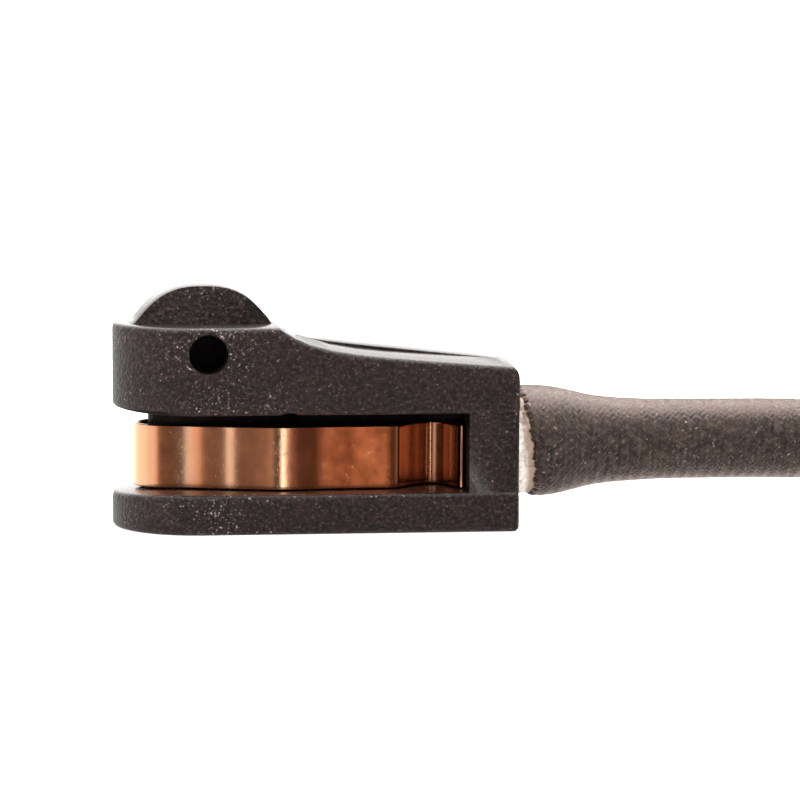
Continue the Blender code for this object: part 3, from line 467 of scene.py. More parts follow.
def sparkle(tree, place, scale, threshold):
    """Small uneven bright grains, more of them where the threshold is low."""
    grain = noise(tree, place, scale, detail=1.0)
    above = math_node(tree, "SUBTRACT", grain, threshold)
    return spread(tree, above, 0.0, 0.10, 0.0, 1.0)


def place_on(tree):
    """The place of a point of the surface, in the frame."""
    return node(tree, "TexCoord").outputs["Object"]


def axes_of(tree, value):
    """The x, y and z of a place or a direction."""
    return tuple(node(tree, "SeparateXYZ", {0: value}).outputs)


def facing_up(tree):
    """How far the surface faces up, from 1 on top to -1 underneath."""
    return axes_of(tree, node(tree, "NewGeometry").outputs["Normal"])[2]


def from_plane(tree, x, plane_x):
    """Distance from a plane across the head."""
    return math_node(tree, "ABSOLUTE", math_node(tree, "SUBTRACT", x, plane_x))


def from_line(tree, x, z, line_x, line_z):
    """Distance in side view from a line across the head."""
    across = math_node(tree, "SUBTRACT", x, line_x)
    height = math_node(tree, "SUBTRACT", z, line_z)
    squares = [math_node(tree, "MULTIPLY", value, value) for value in (across, height)]
    return math_node(tree, "SQRT", math_node(tree, "ADD", *squares))


def new_material(name, roughness, metallic=0.0):
    made = bpy.data.materials.new(name)
    made.use_nodes = True
    shader = made.node_tree.nodes["Principled BSDF"]
    feed(made.node_tree, shader, Roughness=roughness, Metallic=metallic)
    return made, made.node_tree, shader


def feed(tree, shader, **sockets):
    """Set or link the shader's inputs, whose names are given with _ for a space."""
    for key, value in sockets.items():
        socket = shader.inputs[key.replace("_", " ")]
        if isinstance(value, bpy.types.NodeSocket):
            tree.links.new(value, socket)
        else:
            socket.default_value = (*value, 1.0) if isinstance(value, tuple) else value


def roughen(tree, shader, height, depth, strength=1.0):
    """Give the shader a relief from a height over the surface and its depth in metres."""
    bump = node(tree, "Bump", {"Height": height, "Strength": strength, "Distance": depth})
    feed(tree, shader, Normal=bump.outputs[0])


def head_painted_shade(tree, x, y, z):
    """Where shade is painted on the head: 1 inside its blind hole and slot, 0 on its outer faces."""
    hole = from_line(tree, x, z, TIP_X + HOLE_FROM_TIP, HOLE_HEIGHT)
    in_hole = spread(tree, hole, HOLE_RADIUS * 0.98, HOLE_RADIUS * 1.02, 1.0, 0.0)
    over_slot = math_node(tree, "GREATER_THAN", z, SLOT_LOW)
    under_slot = math_node(tree, "LESS_THAN", z, SLOT_HIGH)
    in_slot = math_node(tree, "MULTIPLY", over_slot, under_slot)
    from_middle = math_node(tree, "ABSOLUTE", y)
    below_skin = spread(tree, from_middle, HALF_DEPTH - DARK_BELOW, HALF_DEPTH - DARK_FROM, 1.0, 0.0)
    return math_node(tree, "MULTIPLY", math_node(tree, "MAXIMUM", in_hole, in_slot), below_skin)


def head_glint(tree, place, x):
    """Bright grains, partly the plastic's pale specks and partly painted glints, more of them near the head's
    hole.
    """
    near_hole = spread(tree, from_plane(tree, x, TIP_X + GLINTS_FROM_TIP), 0.6 * MM, 4.6 * MM, 0.08, 0.0)
    glint_crowd = total(tree, (near_hole, 1.0), (noise(tree, place, 430.0), 0.22))
    fine = sparkle(tree, place, 7000.0, math_node(tree, "SUBTRACT", 0.80, glint_crowd))
    coarse = sparkle(tree, place, 3700.0, math_node(tree, "SUBTRACT", 0.86, glint_crowd))
    strength = spread(tree, noise(tree, place, 2600.0), 0.42, 0.72, 0.12, 1.0)
    return math_node(tree, "MULTIPLY", math_node(tree, "MAXIMUM", fine, coarse), strength)


def mould_mark(tree, place, x, y, z):
    """Height of the faint round mark on the near face: a sunk ring, worn away in places."""
    from_centre = from_line(tree, x, z, TIP_X + MARK_FROM_TIP, MARK_HEIGHT)
    off_ring = math_node(tree, "ABSOLUTE", math_node(tree, "SUBTRACT", from_centre, MARK_RADIUS))
    ring = spread(tree, off_ring, 0.0, MARK_WIDTH, -1.1, 0.0, "SMOOTHSTEP")
    ring = math_node(tree, "MULTIPLY", ring, spread(tree, noise(tree, place, 900.0), 0.38, 0.62, 0.15, 1.0))
    near_side = math_node(tree, "LESS_THAN", y, -0.9 * HALF_DEPTH)
    return math_node(tree, "MULTIPLY", ring, near_side)


def head_material():
    """Moulded glass-filled plastic: dark, eroded to a fine grain, with bright grains and painted glints
    crowded near its hole, and painted shade inside its hole and slot.
    """
    made, tree, shader = new_material("head_plastic", 0.42)
    place = place_on(tree)
    x, y, z = axes_of(tree, place)
    cloud = noise(tree, place, 300.0, detail=4.0)
    grain = noise(tree, place, 5200.0, detail=3.0, roughness=0.6)
    cells = node(tree, "TexVoronoi", {"Vector": place, "Scale": 4600.0}, feature="SMOOTH_F1")
    pits = cells.outputs["Distance"]
    painted_shade = head_painted_shade(tree, x, y, z)
    base = ramp(tree, cloud, [(0.3, PLASTIC_DARK), (0.7, PLASTIC_LIGHT)])
    tone = spread(tree, total(tree, (grain, 0.6), (pits, 0.4)), 0.34, 0.56, 0.0, 1.0)
    base = blend(tree, tone, PLASTIC_PIT, base)
    base = blend(tree, spread(tree, grain, 0.54, 0.70, 0.0, 0.34), base, PLASTIC_GRAIN)
    # Painted glints, with the plastic's pale specks, crowded near the hole
    base = blend(tree, head_glint(tree, place, x), base, PLASTIC_GLINT)
    # Painted shade: darker colour and weaker gloss inside the blind hole and slot
    feed(tree, shader, Base_Color=blend(tree, painted_shade, base, PLASTIC_PAINTED_SHADE))
    feed(tree, shader, Roughness=spread(tree, grain, 0.3, 0.7, 0.34, 0.54))
    feed(tree, shader, Specular_IOR_Level=spread(tree, painted_shade, 0.0, 1.0, 0.26, 0.05))
    feed(tree, shader, Coat_Weight=spread(tree, facing_up(tree), 0.5, 0.9, 0.0, 0.70))
    feed(tree, shader, Coat_Tint=PLASTIC_COAT, Coat_Roughness=0.11)
    relief = total(tree, (grain, 1.3), (pits, 1.1), (mould_mark(tree, place, x, y, z), 1.0))
    roughen(tree, shader, relief, 0.05 * MM)
    return made


def copper_material():
    """Rolled copper alloy strip: slight waves, rolling lines, scuffs, paler painted highlights at its nose
    and bends, and painted shade from its waist on.
    """
    made, tree, shader = new_material("spring_copper", 0.14, metallic=1.0)
    place = place_on(tree)
    x = axes_of(tree, place)[0]
    stains = noise(tree, place, 240.0, detail=5.0, roughness=0.6)
    blotches = noise(tree, place, 900.0, detail=6.0, roughness=0.7)
    bends = [from_plane(tree, x, TIP_X + bend) for bend in HIGHLIGHT_BENDS]
    highlight_distance = math_node(tree, "MINIMUM", math_node(tree, "MINIMUM", bends[0], bends[1]), bends[2])
    pale = ramp(tree, stains, list(zip(STAINS, COPPER_PALE)))
    # Painted highlights: a paler colour at the nose and at the bends where the clip mirrors bright light
    pale = blend(tree, from_tip(tree, x, NOSE_STRETCH, 0.85, 0.0), pale, COPPER_NOSE_HIGHLIGHT)
    pale = blend(tree, spread(tree, highlight_distance, 0.1 * MM, 0.75 * MM, 0.8, 0.0), pale, COPPER_BEND_HIGHLIGHT)
    full = ramp(tree, stains, list(zip(STAINS, COPPER_FULL)))
    base = blend(tree, from_tip(tree, x, FULL_STRETCH, 0.0, 1.0, "SMOOTHSTEP"), pale, full)
    base = blend(tree, spread(tree, blotches, 0.58, 0.75, 0.0, 0.5), base, COPPER_BLOTCH)
    # Painted shade: dark brown from the waist's pinch on, where the strip's own walls shade it
    base = blend(tree, from_tip(tree, x, WAIST_SHADE_STRETCH, 0.0, 1.0, "SMOOTHSTEP"), base, COPPER_WAIST_SHADE)
    # Scuffs, partly scratches and partly painted highlight dashes, most at the highlight bends
    slant = node(tree, "Mapping", {"Vector": place, "Rotation": (0, 0.6, 0), "Scale": (1.0, 1.0, 0.35)})
    limit = spread(tree, highlight_distance, 0.25 * MM, 0.9 * MM, 0.60, 0.74)
    scuffs_and_glints = math_node(tree, "MULTIPLY", sparkle(tree, slant.outputs[0], 9500.0, limit), 0.5)
    feed(tree, shader, Base_Color=blend(tree, scuffs_and_glints, base, COPPER_SCUFF_AND_GLINT))
    dull = spread(tree, blotches, 0.35, 0.7, 0.15, 0.25)
    feed(tree, shader, Roughness=math_node(tree, "ADD", dull, math_node(tree, "MULTIPLY", scuffs_and_glints, 0.25)))
    stretched = node(tree, "Mapping", {"Vector": place, "Scale": (0.03, 0.03, 1.0)}).outputs[0]
    lines = noise(tree, stretched, 16000.0, detail=3.0)
    waves = noise(tree, place, 700.0)
    roughen(tree, shader, total(tree, (lines, 0.12), (waves, 1.0), (blotches, 0.3)), 0.008 * MM)
    return made


def weave(tree):
    """Height of the braid's yarns, and the place across and along the yarn on top."""
    round_turns, along_turns, _ = axes_of(tree, node(tree, "UVMap", uv_map="lay").outputs[0])
    first = math_node(tree, "MULTIPLY", math_node(tree, "ADD", round_turns, along_turns), YARNS)
    second = math_node(tree, "MULTIPLY", math_node(tree, "SUBTRACT", round_turns, along_turns), YARNS)
    number = math_node(tree, "SUBTRACT", math_node(tree, "FLOOR", first), math_node(tree, "FLOOR", second))
    over = math_node(tree, "LESS_THAN", math_node(tree, "FLOORED_MODULO", number, CROSSINGS), LAST_OVER)
    ridges = []
    for turns in (first, second):
        wave = math_node(tree, "SINE", math_node(tree, "MULTIPLY", turns, math.pi))
        ridges.append(math_node(tree, "SQRT", math_node(tree, "ABSOLUTE", wave)))
    first_on_top = math_node(tree, "MAXIMUM", ridges[0], math_node(tree, "MULTIPLY", ridges[1], YARN_UNDER))
    second_on_top = math_node(tree, "MAXIMUM", ridges[1], math_node(tree, "MULTIPLY", ridges[0], YARN_UNDER))
    height = choose(tree, over, second_on_top, first_on_top)
    return height, choose(tree, over, second, first), choose(tree, over, first, second)


def braid_material():
    """Dark glass-fibre braid with a worn, felted surface, pale broken fibres, painted shade between its yarns
    and painted light on its top.
    """
    made, tree, shader = new_material("braid", 0.78)
    place = place_on(tree)
    height, across_yarn, along_yarn = weave(tree)
    split = node(tree, "CombineXYZ", {0: math_node(tree, "MULTIPLY", across_yarn, 7.0), 1: along_yarn})
    fibres = noise(tree, split.outputs[0], 1.0)
    felt = noise(tree, place, 5600.0, detail=4.0, roughness=0.7)
    cloud = noise(tree, place, 520.0, detail=4.0)
    base = ramp(tree, cloud, [(0.34, BRAID_DARK), (0.66, BRAID_LIGHT)])
    streak = math_node(tree, "MULTIPLY", fibres, felt)
    base = blend(tree, spread(tree, streak, 0.22, 0.42, 0.0, 0.5), base, BRAID_STREAK)
    clots = noise(tree, place, 2600.0, detail=3.0, roughness=0.6)
    base = blend(tree, spread(tree, clots, 0.46, 0.68, 0.0, 0.75), base, BRAID_CLOT)
    # Painted shade in the hollows between the yarns
    base = blend(tree, spread(tree, height, 0.35, 0.8, 0.5, 0.0), base, BRAID_GAP_SHADE)
    # Painted light: paler on top, where the overhead light falls
    painted_top_light = total(tree, (facing_up(tree), 1.0), (felt, 0.35))
    base = blend(tree, spread(tree, painted_top_light, 0.74, 1.12, 0.0, 1.0), base, BRAID_TOP_LIGHT)
    fine, coarse = sparkle(tree, place, 6000.0, 0.70), sparkle(tree, place, 3600.0, 0.74)
    broken = math_node(tree, "MAXIMUM", fine, coarse)
    feed(tree, shader, Base_Color=blend(tree, broken, base, BRAID_BROKEN), Specular_IOR_Level=0.3)
    feed(tree, shader, Sheen_Weight=1.0, Sheen_Roughness=0.3, Sheen_Tint=BRAID_SHEEN)
    roughen(tree, shader, total(tree, (height, 1.0), (felt, 1.4), (fibres, 0.5)), 0.05 * MM, 0.9)
    return made


def fibre_material():
    """White glass fibres, browner towards the braid's cut edge."""
    made, tree, shader = new_material("glass_fibre", 0.6)
    place = place_on(tree)
    x, _, z = axes_of(tree, place)
    wander = math_node(tree, "MULTIPLY", noise(tree, place, 1400.0, detail=3.0), BROWNING_WANDER)
    slope = math_node(tree, "MULTIPLY", math_node(tree, "SUBTRACT", z, CABLE_HEIGHT), CUT_SLOPE_DOWN)
    along = math_node(tree, "ADD", math_node(tree, "SUBTRACT", x, END_X), slope)
    along = math_node(tree, "ADD", along, wander)
    browning = spread(tree, along, *BROWNING_STRETCH, 0.0, 0.85)
    mottle = noise(tree, place, 4200.0, detail=3.0)
    white = ramp(tree, mottle, [(0.3, FIBRE_SHADED), (0.5, FIBRE_WHITE), (0.7, FIBRE_BRIGHT)])
    feed(tree, shader, Base_Color=blend(tree, browning, white, FIBRE_BROWN))
    roughen(tree, shader, mottle, 0.04 * MM, 0.6)
    return made


def fuzz_material():
    """Broken fibres that stand off the braid."""
    made, tree, shader = new_material("fuzz", 0.7)
    tint = noise(tree, place_on(tree), 1800.0)
    feed(tree, shader, Base_Color=ramp(tree, tint, [(0.35, FUZZ_DARK), (0.65, FUZZ_LIGHT)]))
    return made


def plain_material(name, colour, roughness, scale=3000.0, depth=0.02 * MM, metallic=0.0, vary=0.18):
    """A moulded or metal surface with a fine grain and a slight unevenness of tone."""
    made, tree, shader = new_material(name, roughness, metallic)
    place = place_on(tree)
    grain = noise(tree, place, scale, detail=4.0, roughness=0.6)
    cloud = noise(tree, place, 320.0, detail=3.0)
    dark = tuple(c * (1 - vary) for c in colour)
    light = tuple(c * (1 + vary) for c in colour)
    feed(tree, shader, Base_Color=ramp(tree, cloud, [(0.3, dark), (0.7, light)]))
    feed(tree, shader, Roughness=spread(tree, grain, 0.3, 0.7, roughness - 0.07, roughness + 0.09))
    roughen(tree, shader, grain, depth, 0.6)
    return made


def link_mesh(name, vertices, faces, material):
    """Add a smooth mesh that rides on the part."""
    mesh = bpy.data.meshes.new(name)
    mesh.from_pydata(vertices, [], faces)
    mesh.update()
    mesh.shade_smooth()
    mesh.materials.append(material)
    made = bpy.data.objects.new(name, mesh)
    bpy.context.scene.collection.objects.link(made)
    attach(made, "root")
    return made


def smooth_curve(points, spacing):
    """Points read off a smooth curve through the given ones, about one spacing apart."""
    knots = [Vector(point) for point in points]
    knots = [knots[0] * 2 - knots[1]] + knots + [knots[-1] * 2 - knots[-2]]
    read = []
    for index in range(1, len(knots) - 2):
        before, start, end, after = knots[index - 1:index + 3]
        steps = max(1, round((end - start).length / spacing))
        for step in range(steps):
            t = step / steps
            bend = (2 * before - 5 * start + 4 * end - after) * t * t
            twist = (3 * start - before - 3 * end + after) * t * t * t
            read.append((2 * start + (end - before) * t + bend + twist) / 2)
    read.append(knots[-2])
    return read


def ease(share):
    share = min(1.0, max(0.0, share))
    return share * share * (3 - 2 * share)


def coil_point(angle):
    """The lead's centre in the coil at an angle in degrees, counted on through its turns."""
    radius, height = COIL_OUTER, COIL_LOW
    for start, end, new_radius, new_height in COIL_MOVES:
        share = ease((angle - start) / (end - start))
        radius += (new_radius - radius) * share
        height += (new_height - height) * share
    turn = math.radians(angle)
    return COIL_CENTRE + Vector((radius * math.cos(turn), radius * math.sin(turn), height))


def lead_route():
    """The whole lead from the head to the plug."""
    points = [EXIT, EXIT + Vector((SLEEVE_REACH / 2, 0, 0))]
    points += [Vector(point) * MM for point in LEAD_ROUTE]
    count = round((COIL_END - COIL_START) / COIL_STEP)
    for step in range(count + 1):
        points.append(coil_point(COIL_START + (COIL_END - COIL_START) * step / count))
    points += [COIL_CENTRE + Vector(point) * MM for point in TAIL_ROUTE[1:]]
    return smooth_curve(points, ROUTE_STEP)


class Lead:
    """The lead's line, read at any lengths from the head's end face."""

    def __init__(self):
        self.line = np.array([tuple(point) for point in lead_route()])
        steps = np.linalg.norm(np.diff(self.line, axis=0), axis=1)
        self.lengths = np.concatenate([[0.0], np.cumsum(steps)])
        self.total = self.lengths[-1]

    def at(self, lengths):
        return np.stack([np.interp(lengths, self.lengths, self.line[:, axis]) for axis in range(3)], axis=-1)

    def axes(self, lengths):
        """Directions along the lead, across it and up from it."""
        ahead = self.at(np.minimum(lengths + DIRECTION_STEP, self.total))
        along = ahead - self.at(np.maximum(lengths - DIRECTION_STEP, 0))
        along /= np.linalg.norm(along, axis=-1, keepdims=True)
        up = np.array([0, 0, 1.0]) - along * along[..., 2:3]
        up /= np.linalg.norm(up, axis=-1, keepdims=True)
        return along, np.cross(along, up), up


def sleeve_radius(along):
    """The lead's radius at a distance from the head's end face."""
    points = smooth_curve([(x, radius, 0) for x, radius in SLEEVE_PROFILE], PROFILE_STEP)
    profile = np.array([tuple(point) for point in points]) * MM
    return np.interp(along, profile[:, 0], profile[:, 1])


def sleeve_cut(place):
    """How far from the head's end face the braid's slanted cut edge lies, at a place across the lead."""
    return CUT_START - CUT_SLOPE_DOWN * (place[..., 2] - CABLE_HEIGHT) - CUT_SLOPE_SIDE * place[..., 1]


def braid_relief(along, around):
    """Height of the braid's surface: each yarn goes over two and under two of the others."""
    first = YARNS * (around / FULL_TURN + along / YARN_PITCH)
    second = YARNS * (around / FULL_TURN - along / YARN_PITCH)
    over = np.mod(np.floor(first) - np.floor(second), CROSSINGS) < LAST_OVER
    ridges = [np.sqrt(np.abs(np.sin(np.pi * turns))) for turns in (first, second)]
    first_on_top = np.maximum(ridges[0], YARN_UNDER * ridges[1])
    second_on_top = np.maximum(ridges[1], YARN_UNDER * ridges[0])
    return np.where(over, first_on_top, second_on_top)


def lead_rings(lead, lengths, sides, fine):
    """Rings of points on the lead's surface at some lengths. Fine ones have the weave and the cut edge."""
    around = FULL_TURN * np.arange(sides) / sides
    s, phi = np.meshgrid(lengths, around, indexing="ij")
    radius = sleeve_radius(s)
    if fine:
        radius = radius + YARN_RELIEF * (braid_relief(s, phi) - YARN_MEAN)
    _, side, up = lead.axes(lengths)
    out = side[:, None, :] * np.cos(phi)[..., None] + up[:, None, :] * np.sin(phi)[..., None]
    ring = lead.at(lengths)[:, None, :] + radius[..., None] * out
    if fine:
        ragged = sum(height * np.sin(phi * waves + phase) for height, waves, phase in CUT_WAVES)
        cut = END_X + sleeve_cut(ring) + ragged
        open_end = np.clip((ring[..., 0] - cut) / CURL_LENGTH, 0, 1)
        ring = ring - out * (CURL_DEPTH * (1 - open_end) ** 2)[..., None]
        ring[..., 0] = np.maximum(ring[..., 0], cut)
    return ring


def ring_faces(start, rows, sides):
    """Quads between the rings of a tube, with the turns round and the row of each of their corners."""
    row, step = np.meshgrid(np.arange(rows - 1), np.arange(sides), indexing="ij")
    follow = (step + 1) % sides
    base = start + row * sides
    faces = np.stack([base + step, base + follow, base + sides + follow, base + sides + step], axis=-1)
    turns = np.stack([step, step + 1, step + 1, step], axis=-1) / sides
    rows_of = np.stack([row, row, row + 1, row + 1], axis=-1)
    return faces.reshape(-1, 4), turns.reshape(-1), rows_of.reshape(-1)


def seam_faces(fine_start, fine_turns, plain_start, plain_turns):
    """Faces from the last fine ring to the first plain one, with each corner's turns round and along."""
    ratio = FINE_SIDES // PLAIN_SIDES
    faces, lay = [], []
    for step in range(PLAIN_SIDES):
        fine = [step * ratio + extra for extra in range(ratio + 1)]
        corners = [fine_start + index % FINE_SIDES for index in fine]
        faces.append([*corners, plain_start + (step + 1) % PLAIN_SIDES, plain_start + step])
        lay += [(index / FINE_SIDES, fine_turns) for index in fine]
        lay += [((step + 1) / PLAIN_SIDES, plain_turns), (step / PLAIN_SIDES, plain_turns)]
    return faces, np.array(lay)


def make_lead(lead, material):
    """The lead as one cord. Its UV map, lay, holds the turns of the yarns round and along it."""
    fine = np.arange(0.0, FINE_LENGTH, FINE_STEP)
    plain = np.linspace(FINE_LENGTH, lead.total, round((lead.total - FINE_LENGTH) / PLAIN_STEP))
    rings_fine = lead_rings(lead, fine, FINE_SIDES, True)
    rings_plain = lead_rings(lead, plain, PLAIN_SIDES, False)
    points = np.concatenate([rings_fine.reshape(-1, 3), rings_plain.reshape(-1, 3)])
    plain_start = len(fine) * FINE_SIDES
    faces, uvs = [], []
    for start, lengths, sides in ((0, fine, FINE_SIDES), (plain_start, plain, PLAIN_SIDES)):
        quads, turns, rows = ring_faces(start, len(lengths), sides)
        faces += quads.tolist()
        uvs.append(np.stack([turns, lengths[rows] / YARN_PITCH], axis=-1))
    seam, seam_lay = seam_faces(
        plain_start - FINE_SIDES, fine[-1] / YARN_PITCH, plain_start, plain[0] / YARN_PITCH)
    made = link_mesh("braided_lead", points.tolist(), faces + seam, material)
    layer = made.data.uv_layers.new(name="lay")
    layer.data.foreach_set("uv", np.concatenate([*uvs, seam_lay]).astype(np.float32).ravel())
    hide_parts("sleeve_flare", "cable_lead", "cable_coil", "cable_tail")
    path = [tuple(point) for point in lead.at(np.concatenate([fine[::20], plain]))]


def hairs(name, roots, ways, radius, material, droop):
    """Thin curved fibres, each three-sided and pointed, given by their roots and reaches."""
    points, faces = [], []
    for root, way, sag in zip(roots, ways, droop):
        length = np.linalg.norm(way)
        side = np.cross(way, HAIR_ASIDE)
        side /= np.linalg.norm(side)
        over = np.cross(way, side) / length
        start = len(points)
        for share, thick in HAIR_SECTIONS:
            centre = root + way * share + sag * share * share
            for corner in range(3):
                turn = FULL_TURN * corner / 3
                points.append(centre + radius * thick * (side * math.cos(turn) + over * math.sin(turn)))
        for row in (start, start + 3):
            for corner in range(3):
                follow = (corner + 1) % 3
                faces.append((row + corner, row + follow, row + 3 + follow, row + 3 + corner))
        faces.append((start + 2, start + 1, start))
        faces.append((start + 6, start + 7, start + 8))
    return link_mesh(name, [tuple(point) for point in points], faces, material)


def make_fuzz(lead, material):
    """Broken fibres all over the first stretch of the lead, most of them lying nearly flat."""
    chance = np.random.default_rng(FUZZ_SEED)
    lengths = chance.uniform(FUZZ_START, FUZZ_END, FUZZ_COUNT)
    around = chance.uniform(0, FULL_TURN, FUZZ_COUNT)
    along, side, up = lead.axes(lengths)
    out = side * np.cos(around)[:, None] + up * np.sin(around)[:, None]
    roots = lead.at(lengths) + out * (sleeve_radius(lengths) - FUZZ_ROOT)[:, None]
    tangent = np.cross(along, out)
    lie = chance.uniform(-FUZZ_LEAN, FUZZ_LEAN, FUZZ_COUNT)
    flat = along * np.cos(lie)[:, None] + tangent * np.sin(lie)[:, None]
    flat *= np.sign(chance.uniform(-1, 1, FUZZ_COUNT))[:, None]
    size = chance.uniform(*FUZZ_LENGTHS, FUZZ_COUNT)[:, None] * MM
    lift = np.clip(chance.exponential(FUZZ_LIFT, FUZZ_COUNT), *FUZZ_LIFTS)[:, None]
    ways = (flat + out * lift) * size
    past_cut = roots[:, 0] > END_X + sleeve_cut(roots) + FUZZ_FROM_CUT
    off_floor = roots[:, 2] > FUZZ_FROM_FLOOR
    keep = past_cut & off_floor
    droop = (chance.normal(0, FUZZ_BEND, (FUZZ_COUNT, 3)) * size)[keep]
    made = hairs("braid_fuzz", roots[keep], ways[keep], FUZZ_RADIUS, material, droop)


def make_fibre_layer(chance, material):
    """The glass-fibre layer's white band, lumpy outside and open at both ends."""
    rows, sides = FIBRE_ROWS, FIBRE_SIDES
    start = FIBRE_BOX[0].x - END_X - FIBRE_LIP
    end = FIBRE_BOX[1].x - END_X
    s, phi = np.meshgrid(np.linspace(start, end, rows), FULL_TURN * np.arange(sides) / sides, indexing="ij")
    lumps = np.zeros_like(s)
    for _ in range(FIBRE_LUMPS):
        turns, waves = chance.integers(*FIBRE_LUMP_TURNS), chance.uniform(*FIBRE_LUMP_WAVES)
        phase = chance.uniform(*FIBRE_LUMP_PHASES)
        lumps += np.sin(turns * phi + waves * s + phase) / FIBRE_LUMPS
    share = np.clip((s - start) / FIBRE_LIP_LENGTH, 0, 1)
    radius = FIBRE_RADIUS - FIBRE_SUNK + FIBRE_LUMP * lumps + FIBRE_LIP * (1 - share)
    points = np.stack([END_X + s, radius * np.cos(phi), CABLE_HEIGHT + radius * np.sin(phi)], axis=-1)
    inside = points.copy()
    inside[..., 1:] = (points[..., 1:] - (0, CABLE_HEIGHT)) * FIBRE_INSIDE + (0, CABLE_HEIGHT)
    faces, _, _ = ring_faces(0, rows, sides)
    backs, _, _ = ring_faces(rows * sides, rows, sides)
    quads = faces[:, ::-1].tolist() + backs.tolist()
    for step in range(sides):
        follow = (step + 1) % sides
        last = (rows - 1) * sides
        quads.append((step, follow, rows * sides + follow, rows * sides + step))
        quads.append((last + follow, last + step, rows * sides + last + step, rows * sides + last + follow))
    band = np.concatenate([points.reshape(-1, 3), inside.reshape(-1, 3)])
    made = link_mesh("fibre_layer", band.tolist(), quads, material)
    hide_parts("inner_sleeve")


def make_fray(chance, material):
    """The glass fibres' frayed ends, which stick out at the braid's cut edge."""
    around = chance.uniform(0, FULL_TURN, FRAY_COUNT)
    out = np.stack([np.zeros(FRAY_COUNT), np.cos(around), np.sin(around)], axis=-1)
    tangent = np.cross(out, (1, 0, 0))
    roots = out * (FIBRE_RADIUS - FRAY_ROOT)
    roots[:, 0] = END_X + chance.uniform(*FRAY_ROOTS, FRAY_COUNT) * FRAY_REACH
    roots[:, 2] += CABLE_HEIGHT
    lie = chance.normal(0, FRAY_SLANT, FRAY_COUNT)
    size = chance.uniform(*FRAY_LENGTHS, FRAY_COUNT)[:, None] * MM
    to_head = np.array([1.0, 0, 0]) * np.sin(np.abs(lie))[:, None] * FRAY_TO_HEAD
    ways = tangent * np.cos(lie)[:, None] - to_head
    ways = (ways * np.sign(chance.uniform(-1, 1, FRAY_COUNT))[:, None] + out * FRAY_OUT) * size
    ways[:, 0] = np.maximum(ways[:, 0], END_X + FRAY_FROM_HEAD - roots[:, 0])
    droop = -out * size * chance.uniform(0.0, FRAY_DROOP, FRAY_COUNT)[:, None]
    fray = hairs("fibre_fray", roots, ways, FRAY_RADIUS, material, droop)


def rounded_path(points):
    """Replace each bend of a path of (x, y, radius) by a short arc."""
    path = [Vector(points[0][:2])]
    for before, bend, after in zip(points, points[1:], points[2:]):
        corner = Vector(bend[:2])
        back = Vector(before[:2]) - corner
        ahead = Vector(after[:2]) - corner
        turn = math.pi - back.angle(ahead)
        reach = min(bend[2] * math.tan(turn / 2), ARC_SHARE * back.length, ARC_SHARE * ahead.length)
        start = corner + back.normalized() * reach
        end = corner + ahead.normalized() * reach
        for step in range(ARC_STEPS + 1):
            t = step / ARC_STEPS
            path.append(start * (1 - t) ** 2 + corner * 2 * t * (1 - t) + end * t * t)
    path.append(Vector(points[-1][:2]))
    return path


def softened(line):
    """A line read at even steps and smoothed, so that its bends turn gently."""
    lengths = np.concatenate([[0.0], np.cumsum(np.linalg.norm(np.diff(line, axis=0), axis=1))])
    at = np.linspace(0, lengths[-1], round(lengths[-1] / CLIP_STEP))
    even = np.stack([np.interp(at, lengths, line[:, axis]) for axis in range(2)], axis=-1)
    reach = round(4 * CLIP_SOFTNESS / CLIP_STEP)
    weights = np.exp(-0.5 * (np.arange(-reach, reach + 1) * CLIP_STEP / CLIP_SOFTNESS) ** 2)
    weights /= weights.sum()
    padded = np.concatenate([2 * even[0] - even[reach:0:-1], even, 2 * even[-1] - even[-2:-reach - 2:-1]])
    return np.stack([np.convolve(padded[:, axis], weights, "valid") for axis in range(2)], axis=-1)


def clip_line():
    """Middle line of the whole clip in plan, from its near end round the nose to its far end."""
    centre = TIP_X + CLIP_NOSE_FROM_TIP
    nose = []
    for step in range(CLIP_NOSE_STEPS + 1):
        angle = math.radians(180 + CLIP_NOSE_SWEEP * step / CLIP_NOSE_STEPS)
        nose.append(Vector((centre + CLIP_NOSE_RADIUS * math.cos(angle), CLIP_NOSE_RADIUS * math.sin(angle))))
    bends = [(nose[-1].x, nose[-1].y, 0.0)]
    bends += [(TIP_X + x, -half, radius) for x, half, radius in CLIP_BENDS]
    bends.append((TIP_X + CLIP_END[0], -CLIP_END[1], 0.0))
    near = nose[:-1] + rounded_path(bends)
    line = [Vector(point) for point in near[::-1]] + [Vector((point.x, -point.y)) for point in near[1:]]
    return softened(np.array([tuple(point) for point in line]))


def corner_arc(x, z, first, steps=3):
    """Points round the centre of a rounded edge of the strip, a step apart, after the first angle."""
    turns = [math.radians(first + step * CLIP_EDGE_STEP) for step in range(1, steps + 1)]
    return [(x + CLIP_EDGE * math.cos(turn), z + CLIP_EDGE * math.sin(turn)) for turn in turns]


def clip_section():
    """The strip's rounded section as places across its thickness and height, round from the outer face."""
    low, high = CLIP_BOX[0].z, CLIP_BOX[1].z
    half = CLIP_THICKNESS / 2
    edge_x = half - CLIP_EDGE
    bottom, top = low + CLIP_EDGE, high - CLIP_EDGE
    flat = high - low - 2 * CLIP_EDGE
    section = [(half, bottom + flat * step / CLIP_OUTER_STEPS) for step in range(CLIP_OUTER_STEPS + 1)]
    section += corner_arc(edge_x, top, 0) + corner_arc(-edge_x, top, 90)
    section += [(-half, top - flat * step / CLIP_INNER_STEPS) for step in range(1, CLIP_INNER_STEPS + 1)]
    section += corner_arc(-edge_x, bottom, 180) + corner_arc(edge_x, bottom, 270, 2)
    return np.array(section)


